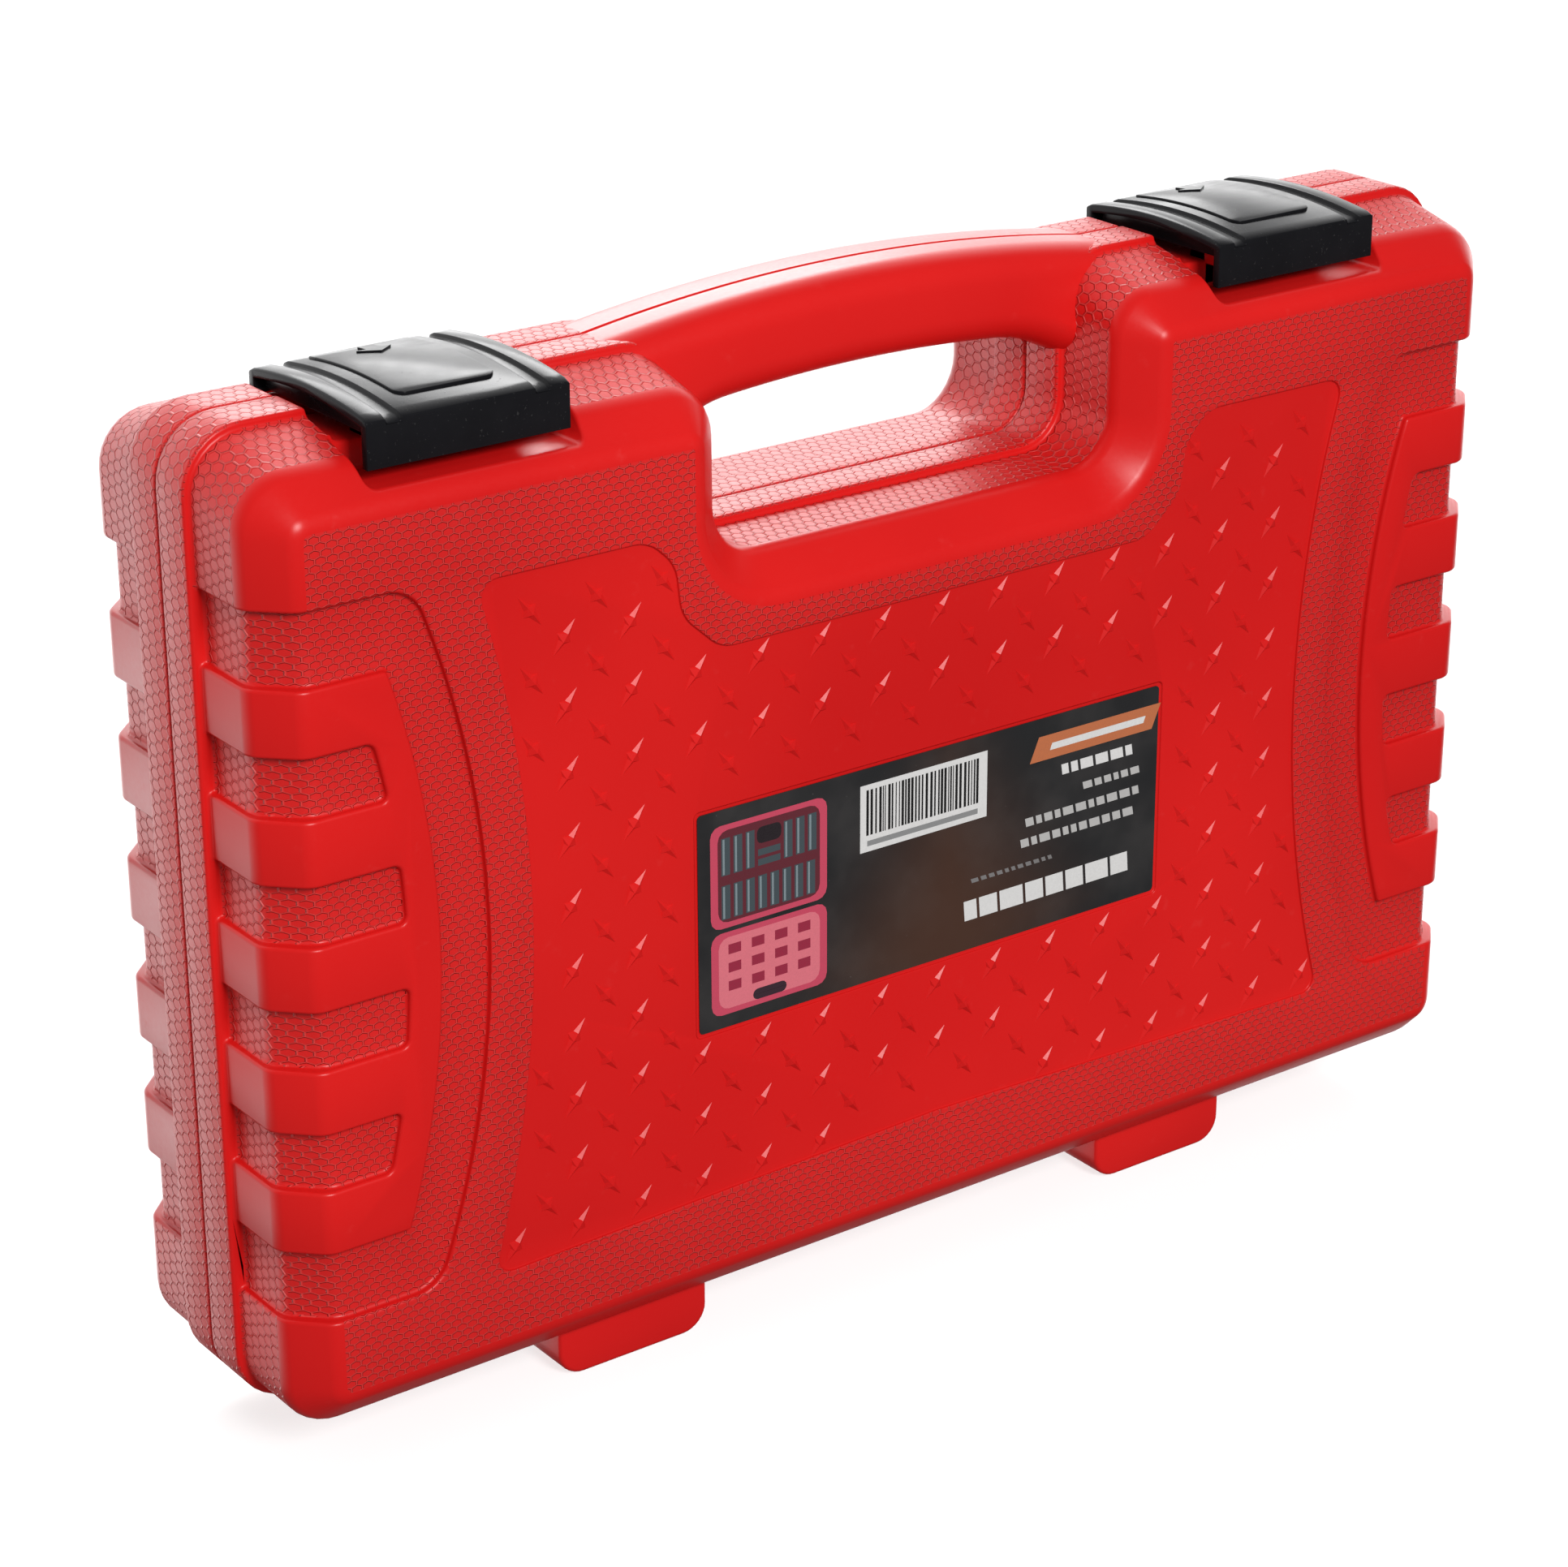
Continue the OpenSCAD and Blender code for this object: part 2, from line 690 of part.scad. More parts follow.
base_shell();
lid_shell();
label();
hinge_pin(-hinge_x);  // hinge_pin_left
hinge_pin(hinge_x);  // hinge_pin_right
latch(latch_x[0]);  // latch_left
latch(latch_x[1]);  // latch_right
latch_pin(latch_x[0]);  // latch_pin_left
latch_pin(latch_x[1]);  // latch_pin_right
socket(10);  // socket_10
socket(11);  // socket_11
socket(12);  // socket_12
socket(13);  // socket_13
socket(14);  // socket_14
socket(15);  // socket_15
socket(16);  // socket_16
socket(17);  // socket_17
socket(18);  // socket_18
socket(19);  // socket_19
socket(21);  // socket_21
socket(22);  // socket_22
socket(24);  // socket_24
socket(27);  // socket_27
socket(30);  // socket_30
socket(32);  // socket_32
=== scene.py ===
# %% [markdown]
# # A blow-moulded case for deep impact sockets
# The case has two red halves, joined by a hinge underneath and two black latches on top. Each half carries
# half of the handle. The outside has a honeycomb grain, smooth sloping edges, a tread panel and finger
# recesses with combs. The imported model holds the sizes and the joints, and this script builds the moulded
# surfaces and the finishes around it.

# %% Load the fixed frame
import json
import math

import bmesh
import bpy
import numpy as np
from mathutils import Matrix, Vector


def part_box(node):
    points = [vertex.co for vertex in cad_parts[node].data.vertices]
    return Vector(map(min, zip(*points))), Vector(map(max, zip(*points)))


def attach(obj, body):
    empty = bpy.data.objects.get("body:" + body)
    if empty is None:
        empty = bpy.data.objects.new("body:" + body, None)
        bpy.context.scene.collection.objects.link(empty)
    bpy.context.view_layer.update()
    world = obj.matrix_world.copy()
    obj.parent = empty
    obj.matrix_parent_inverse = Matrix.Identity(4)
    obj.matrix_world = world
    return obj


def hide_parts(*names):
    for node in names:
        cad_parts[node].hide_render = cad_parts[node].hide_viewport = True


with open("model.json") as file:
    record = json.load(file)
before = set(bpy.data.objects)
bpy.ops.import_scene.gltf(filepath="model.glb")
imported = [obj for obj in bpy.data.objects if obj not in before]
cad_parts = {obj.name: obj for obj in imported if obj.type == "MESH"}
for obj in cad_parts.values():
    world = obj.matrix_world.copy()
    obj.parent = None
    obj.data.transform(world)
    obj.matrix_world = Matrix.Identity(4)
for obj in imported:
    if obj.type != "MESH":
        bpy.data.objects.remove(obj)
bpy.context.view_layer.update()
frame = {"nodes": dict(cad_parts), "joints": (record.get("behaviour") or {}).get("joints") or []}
MM = 0.001
joints = {j["name"]: j for j in frame["joints"]}

# %% [markdown]
# ## Sizes
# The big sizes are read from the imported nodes, so the moulded skins land where the CAD shells are. The
# others are the details that a mould maker draws: edge slopes, flange, recesses. The coordinate called
# depth is the distance from the joint plane into one half, so one set of functions shapes both halves.

# %% Sizes of the case
lid_low, lid_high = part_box("lid_shell")
FLANGE_H = 2 * MM
FLANGE_W = 12.6 * MM
HALF_D = -lid_low.y
HALF_W = lid_high.x - FLANGE_H
BODY_Z = 13.5 * MM
TOP_Z = joints["latch_left_pivot"]["pos_m"][2] - 2 * MM
MID_Z = BODY_Z + 117.5 * MM
GRIP_W = 60.5 * MM
GRIP_Z = TOP_Z - 42.5 * MM
CHAMFER = 9.2 * MM
CROWN = 4.8 * MM
CORNER_R = 13 * MM
TOWER_R = 12 * MM
SOFT_EDGE = 2.2 * MM
print("half width, half depth, top in mm:", [round(v / MM, 1) for v in (HALF_W, HALF_D, TOP_Z)])

# %% [markdown]
# ## The camera
# The case is seen from its front left, a little from above, with a long lens. The camera is made first, so
# that every later step can be judged through it.

# %% Make the camera
CAMERA_AT = Vector((-564.3, -745.0, 494.3 + 13.5)) * MM
TURN, TILT, ROLL = math.radians(36.28), math.radians(22.43), math.radians(-0.21)
camera = bpy.data.objects.new("camera", bpy.data.cameras.new("camera"))
bpy.context.scene.collection.objects.link(camera)
camera.location = CAMERA_AT
camera.data.sensor_width = 36
camera.data.lens = 91.27
camera.data.clip_start = 0.05
forward = Vector((math.sin(TURN) * math.cos(TILT), math.cos(TURN) * math.cos(TILT), -math.sin(TILT)))
look = forward.to_track_quat("-Z", "Y")
camera.rotation_mode = "QUATERNION"
camera.rotation_quaternion = look @ Matrix.Rotation(ROLL, 4, "Z").to_quaternion()
bpy.context.scene.camera = camera
print("camera at", [round(v, 3) for v in camera.location])


# %% [markdown]
# ## Small helpers for meshes
# A piece starts as a bmesh and becomes an object at the origin. Cuts are made with the Boolean modifier,
# which is applied at once, so each later step works on a real mesh.

# %% Turn a bmesh into an object
def as_object(name, bm, materials=()):
    mesh = bpy.data.meshes.new(name)
    bmesh.ops.recalc_face_normals(bm, faces=bm.faces)
    bm.to_mesh(mesh)
    bm.free()
    for material in materials:
        mesh.materials.append(material)
    obj = bpy.data.objects.new(name, mesh)
    bpy.context.scene.collection.objects.link(obj)
    return obj


def bake_modifiers(obj):
    graph = bpy.context.evaluated_depsgraph_get()
    mesh = bpy.data.meshes.new_from_object(obj.evaluated_get(graph))
    old = obj.data
    obj.modifiers.clear()
    obj.data = mesh
    mesh.name = obj.name
    bpy.data.meshes.remove(old)
    return obj


def boolean(obj, tool, operation="DIFFERENCE", keep_tool=False):
    cut = obj.modifiers.new("cut", "BOOLEAN")
    cut.operation = operation
    cut.solver = "EXACT"
    cut.object = tool
    bake_modifiers(obj)
    if not keep_tool:
        bpy.data.objects.remove(tool)
    return obj


def flipped(obj, axis):
    scale = Vector((1, 1, 1))
    scale[axis] = -1
    obj.data.transform(Matrix.Diagonal(scale).to_4x4())
    obj.data.flip_normals()
    return obj


# %% [markdown]
# Simple tools for cutting: a box given by its two corners, a round drum whose axis runs from front to
# back, and a prism whose outline is a short list of points seen from the front. A prism's upright edges
# can be rounded.

# %% Make cutting tools
def box_bm(low, high):
    bm = bmesh.new()
    bmesh.ops.create_cube(bm, size=1)
    low, high = Vector(low), Vector(high)
    bmesh.ops.scale(bm, vec=high - low, verts=bm.verts)
    bmesh.ops.translate(bm, vec=(low + high) / 2, verts=bm.verts)
    return bm


def round_edges(bm, along, radius, segments, pick=None):
    edges = []
    for edge in bm.edges:
        line = (edge.verts[1].co - edge.verts[0].co).normalized()
        turned = len(edge.link_faces) == 2 and edge.calc_face_angle(0) > math.radians(20)
        if abs(line[along]) > 0.999 and turned and (pick is None or pick(edge.verts[0].co)):
            edges.append(edge)
    bmesh.ops.bevel(bm, geom=edges, offset=radius, segments=segments, profile=0.5, affect="EDGES",
                    material=-1, offset_type="OFFSET")
    return bm


def drum_bm(x, z, radius, depth_from, depth_to, segments=192):
    bm = bmesh.new()
    bmesh.ops.create_cone(bm, cap_ends=True, segments=segments, radius1=radius, radius2=radius,
                          depth=depth_to - depth_from)
    bmesh.ops.rotate(bm, verts=bm.verts, matrix=Matrix.Rotation(math.radians(90), 3, "X"))
    bmesh.ops.translate(bm, vec=(x, -(depth_from + depth_to) / 2, z), verts=bm.verts)
    return bm


def prism_bm(points, depth_from, depth_to):
    bm = bmesh.new()
    face = bm.faces.new([bm.verts.new((x, -depth_from, z)) for x, z in points])
    grown = bmesh.ops.extrude_face_region(bm, geom=[face])["geom"]
    moved = [g for g in grown if isinstance(g, bmesh.types.BMVert)]
    bmesh.ops.translate(bm, vec=(0, depth_from - depth_to, 0), verts=moved)
    bmesh.ops.recalc_face_normals(bm, faces=bm.faces)
    return bm


# %% [markdown]
# ## The outside of one half
# A blow mould is a box with soft slopes. The outline is eight sharp corners, each rounded with a vertex
# bevel. It is extruded for the flange, inset for the flange's step, extruded again for the wall and inset
# with depth for the sloping edge. The slope's two arrises get a wide bevel, because the real ones are
# soft. Material 0 is the grain, 1 the smooth finish, and 2 marks the floor of a recess.

# %% Draw the outline of the case
GRAIN, SMOOTH, FLOOR = 0, 1, 2


def outline_bm(inset, rise, radius_floor=0.0, steps=8):
    w, g, low, top = HALF_W - inset, GRIP_W + inset, BODY_Z + inset, TOP_Z + rise - inset
    grip = GRIP_Z - inset
    outer = max(CORNER_R - inset, radius_floor)
    tower = max(TOWER_R - inset, radius_floor)
    inner = CORNER_R + inset
    corners = [(-w, low, outer), (w, low, outer), (w, top, outer), (g, top, tower), (g, grip, inner),
               (-g, grip, inner), (-g, top, tower), (-w, top, outer)]
    bm = bmesh.new()
    verts = [bm.verts.new((x, 0, z)) for x, z, _ in corners]
    bm.faces.new(verts)
    for vert, (_, _, radius) in zip(verts, corners):
        bmesh.ops.bevel(bm, geom=[vert], offset=radius, segments=steps, profile=0.5,
                        affect="VERTICES", material=-1, offset_type="OFFSET")
    return bm


# %% [markdown]
# ## Outer skin
# A half is the outline pushed out in layers: the flange at the joint, the wall, and the sloping edge up to
# the flat face. Extruding one face again and again keeps the layers joined, which a stack of separate
# solids would not.

# %% Grow the outline into the outer skin
def grow(bm, face, depth, keep=True):
    grown = bmesh.ops.extrude_face_region(bm, geom=[face])["geom"]
    if not keep:
        bmesh.ops.delete(bm, geom=[face], context="FACES_ONLY")
    verts = [g for g in grown if isinstance(g, bmesh.types.BMVert)]
    bmesh.ops.translate(bm, vec=(0, -depth, 0), verts=verts)
    return next(g for g in grown if isinstance(g, bmesh.types.BMFace)), verts


def loop_at(bm, depth):
    near = 0.01 * MM
    return [e for e in bm.edges if all(abs(v.co.y + depth) < near for v in e.verts)]


def half_skin(name, deeper, materials):
    bm = outline_bm(deeper - FLANGE_H, CROWN, radius_floor=16 * MM if deeper else 0)
    bm.faces.ensure_lookup_table()
    face = bm.faces[0]
    for skin_face in bm.faces:
        skin_face.material_index = SMOOTH
    front, _ = grow(bm, face, FLANGE_W)
    bm.normal_update()
    if front.normal.y > 0:
        bmesh.ops.reverse_faces(bm, faces=bm.faces)
    for wall in bm.faces:
        wall.material_index = GRAIN
    step = bmesh.ops.inset_region(bm, faces=[front], thickness=FLANGE_H, depth=0, use_even_offset=True)
    for ring in step["faces"]:
        ring.material_index = SMOOTH
    front, verts = grow(bm, front, HALF_D - CHAMFER - FLANGE_W - deeper, keep=False)
    for vert in verts:
        if vert.co.z > TOP_Z - CORNER_R - MM:
            vert.co.z -= CROWN
    slope = bmesh.ops.inset_region(bm, faces=[front], thickness=CHAMFER, depth=CHAMFER, use_even_offset=True)
    for ring in slope["faces"]:
        ring.material_index = SMOOTH if deeper == 0 else GRAIN
    arrises = loop_at(bm, HALF_D - deeper) + loop_at(bm, HALF_D - CHAMFER - deeper)
    bmesh.ops.bevel(bm, geom=arrises, offset=SOFT_EDGE, segments=4, profile=0.5, affect="EDGES",
                    material=SMOOTH if deeper == 0 else GRAIN, offset_type="OFFSET")
    if deeper:
        for floor in bm.faces:
            floor.material_index = FLOOR
    return as_object(name, bm, materials)


# %% [markdown]
# ## Finger recesses and combs
# Each side has a recess that runs over the face, the slope and the wall, always 2 mm deep. Its cutter is a
# prism with a second skin taken out of it, one that lies 2 mm further in. What is left of the prism
# follows the outside everywhere. The comb is taken out of the prism too, so it stays at full height.

# %% Cut the recesses
ARC_X = HALF_W - 54.7 * MM + 233 * MM
RECESS_R, RECESS_HALF, RECESS_END_R = 233 * MM, 86.75 * MM, 10 * MM
COMB_R, SPINE_R = 220 * MM, 211.5 * MM
TOOTH, PITCH, TEETH = 16 * MM, 30.5 * MM, 5
COMB_HALF = ((TEETH - 1) * PITCH + TOOTH) / 2
PAST = 6 * MM


def comb_tool(side):
    reach = HALF_D + PAST
    low, high = MID_Z - COMB_HALF, MID_Z + COMB_HALF
    comb = as_object("comb", box_bm((side * 100 * MM, -reach, low), (side * (HALF_W + PAST), PAST, high)))
    arc = as_object("arc", drum_bm(side * ARC_X, MID_Z, COMB_R, -2 * PAST, reach + PAST))
    boolean(comb, arc, "INTERSECT")
    for gap in range(TEETH - 1):
        start = low + TOOTH + gap * PITCH
        room = box_bm((side * 100 * MM, -reach - PAST, start),
                      (side * (HALF_W + 2 * PAST), 2 * PAST, start + PITCH - TOOTH))
        room = as_object("gap", room)
        boolean(room, as_object("spine", drum_bm(side * ARC_X, MID_Z, SPINE_R, -3 * PAST, reach + 2 * PAST)),
                "INTERSECT")
        round_corners(room, side, start)
        boolean(comb, room)
    return comb


def round_corners(room, side, start):
    bm = bmesh.new()
    bm.from_mesh(room.data)
    bmesh.ops.dissolve_limit(bm, angle_limit=math.radians(0.2), verts=bm.verts, edges=bm.edges)
    inner = [e for e in bm.edges if all(abs(v.co.x) < HALF_W - 20 * MM for v in e.verts)
             and abs((e.verts[1].co - e.verts[0].co).normalized().y) > 0.99
             and len(e.link_faces) == 2 and e.calc_face_angle(0) > math.radians(45)]
    bmesh.ops.bevel(bm, geom=inner, offset=2 * MM, segments=4, profile=0.5, affect="EDGES", material=-1)
    bm.to_mesh(room.data)
    bm.free()


def arc_points(at, radius, start, end, steps):
    angles = [math.radians(start + (end - start) * k / steps) for k in range(steps + 1)]
    return [(at[0] + radius * math.cos(a), at[1] + radius * math.sin(a)) for a in angles]


def recess_outline(side):
    rise = RECESS_HALF - RECESS_END_R
    turn = math.degrees(math.asin(rise / (RECESS_R - RECESS_END_R)))
    end_x = ARC_X - (RECESS_R - RECESS_END_R) * math.cos(math.radians(turn))
    far = HALF_W + PAST / 2
    points = [(far, MID_Z - RECESS_HALF), (far, MID_Z + RECESS_HALF)]
    points += arc_points((end_x, MID_Z + rise), RECESS_END_R, 90, 180 - turn, 8)
    points += arc_points((ARC_X, MID_Z), RECESS_R, 180 - turn, 180 + turn, 32)
    points += arc_points((end_x, MID_Z - rise), RECESS_END_R, 180 + turn, 270, 8)
    return [(side * x, z) for x, z in points]


def recess_tool(side, inner_skin, materials):
    bm = prism_bm(recess_outline(side), FLANGE_W, HALF_D + 2 * MM)
    bmesh.ops.remove_doubles(bm, verts=bm.verts, dist=0.01 * MM)
    for face in bm.faces:
        face.material_index = SMOOTH
    tool = as_object("recess", bm, materials)
    comb = comb_tool(side)
    for material in materials:
        comb.data.materials.append(material)
    for poly in comb.data.polygons:
        poly.material_index = SMOOTH
    boolean(tool, comb)
    boolean(tool, inner_skin, keep_tool=True)
    return tool


# %% [markdown]
# ## Tread panel, label recess and latch pockets
# The panel is a shallow prism with curved sides and a notch under the hand opening. Its upright edges are
# rounded before the cut. The pockets are cut in two steps: a low one in front for the latch's skirt, a
# high one behind.

# %% Cut the panel and the pockets
PANEL_DEPTH = 0.8 * MM
PANEL_TOP, PANEL_LOW = BODY_Z + 202 * MM, BODY_Z + 28.5 * MM
PANEL_R = 293 * MM
PANEL_ARC_X = HALF_W - 66.3 * MM + PANEL_R
LABEL_W, LABEL_H, LABEL_Z = 144 * MM, 57 * MM, BODY_Z + 102.4 * MM
latch_x = [joints[name]["pos_m"][0] for name in ("latch_left_pivot", "latch_right_pivot")]
POCKET_HALF = 27.75 * MM


def panel_outline():
    right = []
    for step in range(25):
        z = PANEL_LOW + (PANEL_TOP - PANEL_LOW) * step / 24
        right.append((PANEL_ARC_X - math.sqrt(PANEL_R ** 2 - (z - MID_Z) ** 2), z))
    notch = [(24.5, 0), (17, -7), (15.5, -20), (4.5, -30)]
    right += [(GRIP_W + x * MM, PANEL_TOP + z * MM) for x, z in notch]
    left = [(-x, z) for x, z in reversed(right)]
    return [(0, PANEL_LOW + 3.5 * MM)] + right + left


def panel_tool(materials, finish):
    bm = prism_bm(panel_outline(), HALF_D - PANEL_DEPTH, HALF_D + 2 * MM)
    round_edges(bm, 1, 6 * MM, 6, pick=lambda co: abs(co.x) > 110 * MM)
    round_edges(bm, 1, 3.5 * MM, 4, pick=lambda co: abs(co.x) < 100 * MM)
    for face in bm.faces:
        face.material_index = finish
    return as_object("panel", bm, materials)


def pocket_tool(x, depth_from, depth_to, floor_z, materials):
    half, flare = POCKET_HALF, 6 * MM
    points = [(x - half, floor_z), (x + half, floor_z), (x + half + flare, floor_z + 40 * MM),
              (x - half - flare, floor_z + 40 * MM)]
    bm = prism_bm(points, depth_from, depth_to)
    round_edges(bm, 1, 2 * MM, 4)
    for face in bm.faces:
        face.material_index = SMOOTH
    return as_object("pocket", bm, materials)


# %% [markdown]
# ## The inside
# The lid holds a tray with press pads, two for each socket. The base holds a deck with one nest for each
# socket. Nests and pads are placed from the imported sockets' own boxes, so they always fit the sockets that
# are there.

# %% Cut the tray and the nests
TRAY_EDGE = 12 * MM
LID_TRAY, BASE_DECK = 20 * MM, 4 * MM
NEST_GAP, PAD_GAP, PAD = 0.6 * MM, 0.8 * MM, 12 * MM
sockets = sorted(name for name in frame["nodes"] if name.startswith("socket_"))


def tray_tool(depth, materials):
    bm = outline_bm(TRAY_EDGE, 0, radius_floor=2 * MM)
    verts = [v for v in bm.verts]
    bmesh.ops.translate(bm, vec=(0, MM, 0), verts=verts)
    bm.faces.ensure_lookup_table()
    grow(bm, bm.faces[0], depth + MM)
    for face in bm.faces:
        face.material_index = SMOOTH
    return as_object("tray", bm, materials)


def socket_room(name):
    low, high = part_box(name)
    middle, size = (low + high) / 2, high - low
    along = 0 if size.x > size.z else 2
    return middle, size.y / 2, size[along], along


def nest_tools(materials):
    bm = bmesh.new()
    for name in sockets:
        middle, radius, length, along = socket_room(name)
        radius, length = radius + NEST_GAP, length + 2 * NEST_GAP
        ring = 24
        rim = [(radius * math.cos(math.pi * k / ring), radius * math.sin(math.pi * k / ring))
               for k in range(ring + 1)]
        outline = [(radius, -middle.y - MM)] + rim + [(-radius, -middle.y - MM)]
        start = middle[along] - length / 2
        verts = []
        for side, depth in outline:
            place = Vector((0, middle.y + depth, 0))
            place[2 - along] = middle[2 - along] + side
            place[along] = start
            verts.append(bm.verts.new(place))
        face = bm.faces.new(verts)
        grown = bmesh.ops.extrude_face_region(bm, geom=[face])["geom"]
        shift = Vector((0, 0, 0))
        shift[along] = length
        bmesh.ops.translate(bm, vec=shift, verts=[g for g in grown if isinstance(g, bmesh.types.BMVert)])
    for face in bm.faces:
        face.material_index = SMOOTH
    return as_object("nests", bm, materials)


def pads_bm():
    bm = bmesh.new()
    for name in sockets:
        middle, radius, length, along = socket_room(name)
        reach = LID_TRAY + middle.y - radius - PAD_GAP
        for share in (-0.25, 0.25):
            at = Vector((middle.x, -LID_TRAY + reach / 2 - 0.5 * MM, middle.z))
            at[along] += share * length
            made = bmesh.ops.create_cube(bm, size=1)["verts"]
            bmesh.ops.scale(bm, vec=(PAD, reach + MM, PAD), verts=made)
            bmesh.ops.translate(bm, vec=at, verts=made)
            top = [v for v in made if v.co.y > at.y]
            bmesh.ops.scale(bm, vec=(0.86, 1, 0.86), verts=top,
                            space=Matrix.Translation(-Vector((at.x, 0, at.z))))
    return bm


# %% [markdown]
# ## Soft edges
# Every sharp edge gets a small round edge, as a mould never makes sharp ones. The panel and the label's
# recess are shallow, so their edges get a narrower one. Widths are stored as bevel weights and one Bevel
# modifier reads them.

# %% Bevel by weight
EDGE_R, FINE_SHARE = 0.9 * MM, 0.38


def soften(obj, width=EDGE_R, share_of=None, angle=32, cuts=()):
    bm = bmesh.new()
    bm.from_mesh(obj.data)
    bmesh.ops.remove_doubles(bm, verts=bm.verts, dist=0.02 * MM)
    bmesh.ops.dissolve_limit(bm, angle_limit=math.radians(0.3), verts=bm.verts, edges=bm.edges,
                             delimit={"MATERIAL"})
    for height in cuts:
        bmesh.ops.bisect_plane(bm, geom=bm.verts[:] + bm.edges[:] + bm.faces[:], plane_co=(0, 0, height),
                               plane_no=(0, 0, 1), dist=0.001 * MM)
    weights = bm.edges.layers.float.new("bevel_weight_edge")
    sharp = 0
    for edge in bm.edges:
        if len(edge.link_faces) == 2 and edge.calc_face_angle(0) > math.radians(angle):
            middle = (edge.verts[0].co + edge.verts[1].co) / 2
            edge[weights] = share_of(middle) if share_of else 1
            sharp += 1
    bm.to_mesh(obj.data)
    bm.free()
    bevel = obj.modifiers.new("soft edges", "BEVEL")
    bevel.limit_method = "WEIGHT"
    bevel.width = width
    bevel.segments = 3
    bevel.use_clamp_overlap = False
    bevel.loop_slide = True
    bevel.miter_outer = "MITER_ARC"
    bake_modifiers(obj)
    print(obj.name, "sharp edges", sharp, "faces", len(obj.data.polygons))
    return obj


def panel_share(co):
    shallow = abs(co.y) > HALF_D - 1.6 * MM and abs(co.x) < 150 * MM and PANEL_LOW - 8 * MM < co.z
    inner = abs(co.x) < PANEL_ARC_X - PANEL_R + 20 * MM and co.z < PANEL_TOP + 2 * MM
    return FINE_SHARE if shallow and inner else 1


# %% [markdown]
# ## Grain coordinates
# The honeycomb grain needs even coordinates in millimetres. Front faces use x and z. Walls use the
# distance along the outline, found from the nearest point of the outline's line, and y. The cells are
# flatter than they are wide on the faces and longer on the walls, so one direction is scaled in each case.

# %% Write the grain map
FLATTER, LONGER = 1.35, 0.7


def grain_map(obj):
    bm = outline_bm(-FLANGE_H, 0)
    ring = [v.co.copy() for v in bm.verts]
    bm.faces.ensure_lookup_table()
    ring = np.array([[v.co.x, v.co.z] for v in bm.faces[0].verts])
    bm.free()
    start = int(np.argmin(np.abs(ring[:, 0]) + (ring[:, 1] > MID_Z)))
    ring = np.roll(ring, -start, axis=0)
    a, b = ring, np.roll(ring, -1, axis=0)
    length = np.linalg.norm(b - a, axis=1)
    run = np.concatenate([[0], np.cumsum(length)[:-1]])
    mesh = obj.data
    co = np.array([v.co for v in mesh.vertices])
    flat = co[:, [0, 2]]
    best = np.full(len(flat), 1e9)
    along = np.zeros(len(flat))
    for i in range(len(a)):
        t = np.clip(((flat - a[i]) @ (b[i] - a[i])) / length[i] ** 2, 0, 1)
        gap = np.linalg.norm(flat - (a[i] + t[:, None] * (b[i] - a[i])), axis=1)
        closer = gap < best
        best = np.where(closer, gap, best)
        along = np.where(closer, run[i] + t * length[i], along)
    total = run[-1] + length[-1]
    layer = mesh.uv_layers.new(name="grain")
    for poly in mesh.polygons:
        loops = list(poly.loop_indices)
        if abs(poly.normal.y) > 0.6:
            corners = [co[mesh.loops[i].vertex_index] for i in loops]
            values = [(corner[0], corner[2] * FLATTER) for corner in corners]
        else:
            corners = [mesh.loops[i].vertex_index for i in loops]
            values = [(along[corner], co[corner][1] * LONGER) for corner in corners]
            if max(v[0] for v in values) - min(v[0] for v in values) > total / 2:
                values = [(u + total if u < total / 2 else u, v) for u, v in values]
        for i, (u, v) in zip(loops, values):
            layer.data[i].uv = (u / MM, v / MM)
    return obj


# %% [markdown]
# ## Shader arithmetic
# A socket wrapped in `Wire` takes part in Python expressions, so a pattern reads like a formula. Its
# method `node` adds any other kind of node from a type, its settings and its inputs.

# %% Wrap a socket
class Wire:
    def __init__(self, tree, socket=None):
        self.tree, self.socket = tree, socket

    def node(self, kind, settings=None, inputs=None, output=0):
        made = self.tree.nodes.new(kind)
        for name, value in (settings or {}).items():
            setattr(made, name, value)
        for key, value in (inputs or {}).items():
            if isinstance(value, Wire):
                self.tree.links.new(value.socket, made.inputs[key])
            else:
                made.inputs[key].default_value = value
        return Wire(self.tree, made.outputs[output]) if made.outputs else made

    def math(self, operation, *values):
        return self.node("ShaderNodeMath", {"operation": operation}, dict(enumerate(values)))

    def __add__(self, other):
        return self.math("ADD", self, other)

    def __sub__(self, other):
        return self.math("SUBTRACT", self, other)

    def __rsub__(self, other):
        return self.math("SUBTRACT", other, self)

    def __mul__(self, other):
        return self.math("MULTIPLY", self, other)

    def __truediv__(self, other):
        return self.math("DIVIDE", self, other)

    def __mod__(self, other):
        return self.math("FLOORED_MODULO", self, other)

    def __abs__(self):
        return self.math("ABSOLUTE", self)

    def __lt__(self, other):
        return self.math("LESS_THAN", self, other)

    def __gt__(self, other):
        return self.math("GREATER_THAN", self, other)

    __radd__ = __add__
    __rmul__ = __mul__

    def ramp(self, low, high, to_low=0.0, to_high=1.0):
        return self.node("ShaderNodeMapRange", {"interpolation_type": "SMOOTHSTEP", "clamp": True},
                         {0: self, 1: low, 2: high, 3: to_low, 4: to_high})

    def mix(self, first, second):
        return self.node("ShaderNodeMix", {"data_type": "RGBA"}, {0: self, 6: first, 7: second}, output=2)

    def noise(self, where, scale, detail=2.0, rough=0.5):
        return self.node("ShaderNodeTexNoise", {}, {"Vector": where, "Scale": scale, "Detail": detail,
                                                    "Roughness": rough})

    def axis(self, vector, index):
        return self.node("ShaderNodeSeparateXYZ", {}, {0: vector}, output=index)


# %% [markdown]
# ## Start and finish a material
# Each material starts with an empty tree and the piece's own coordinates, and ends with a bump and one
# shader.

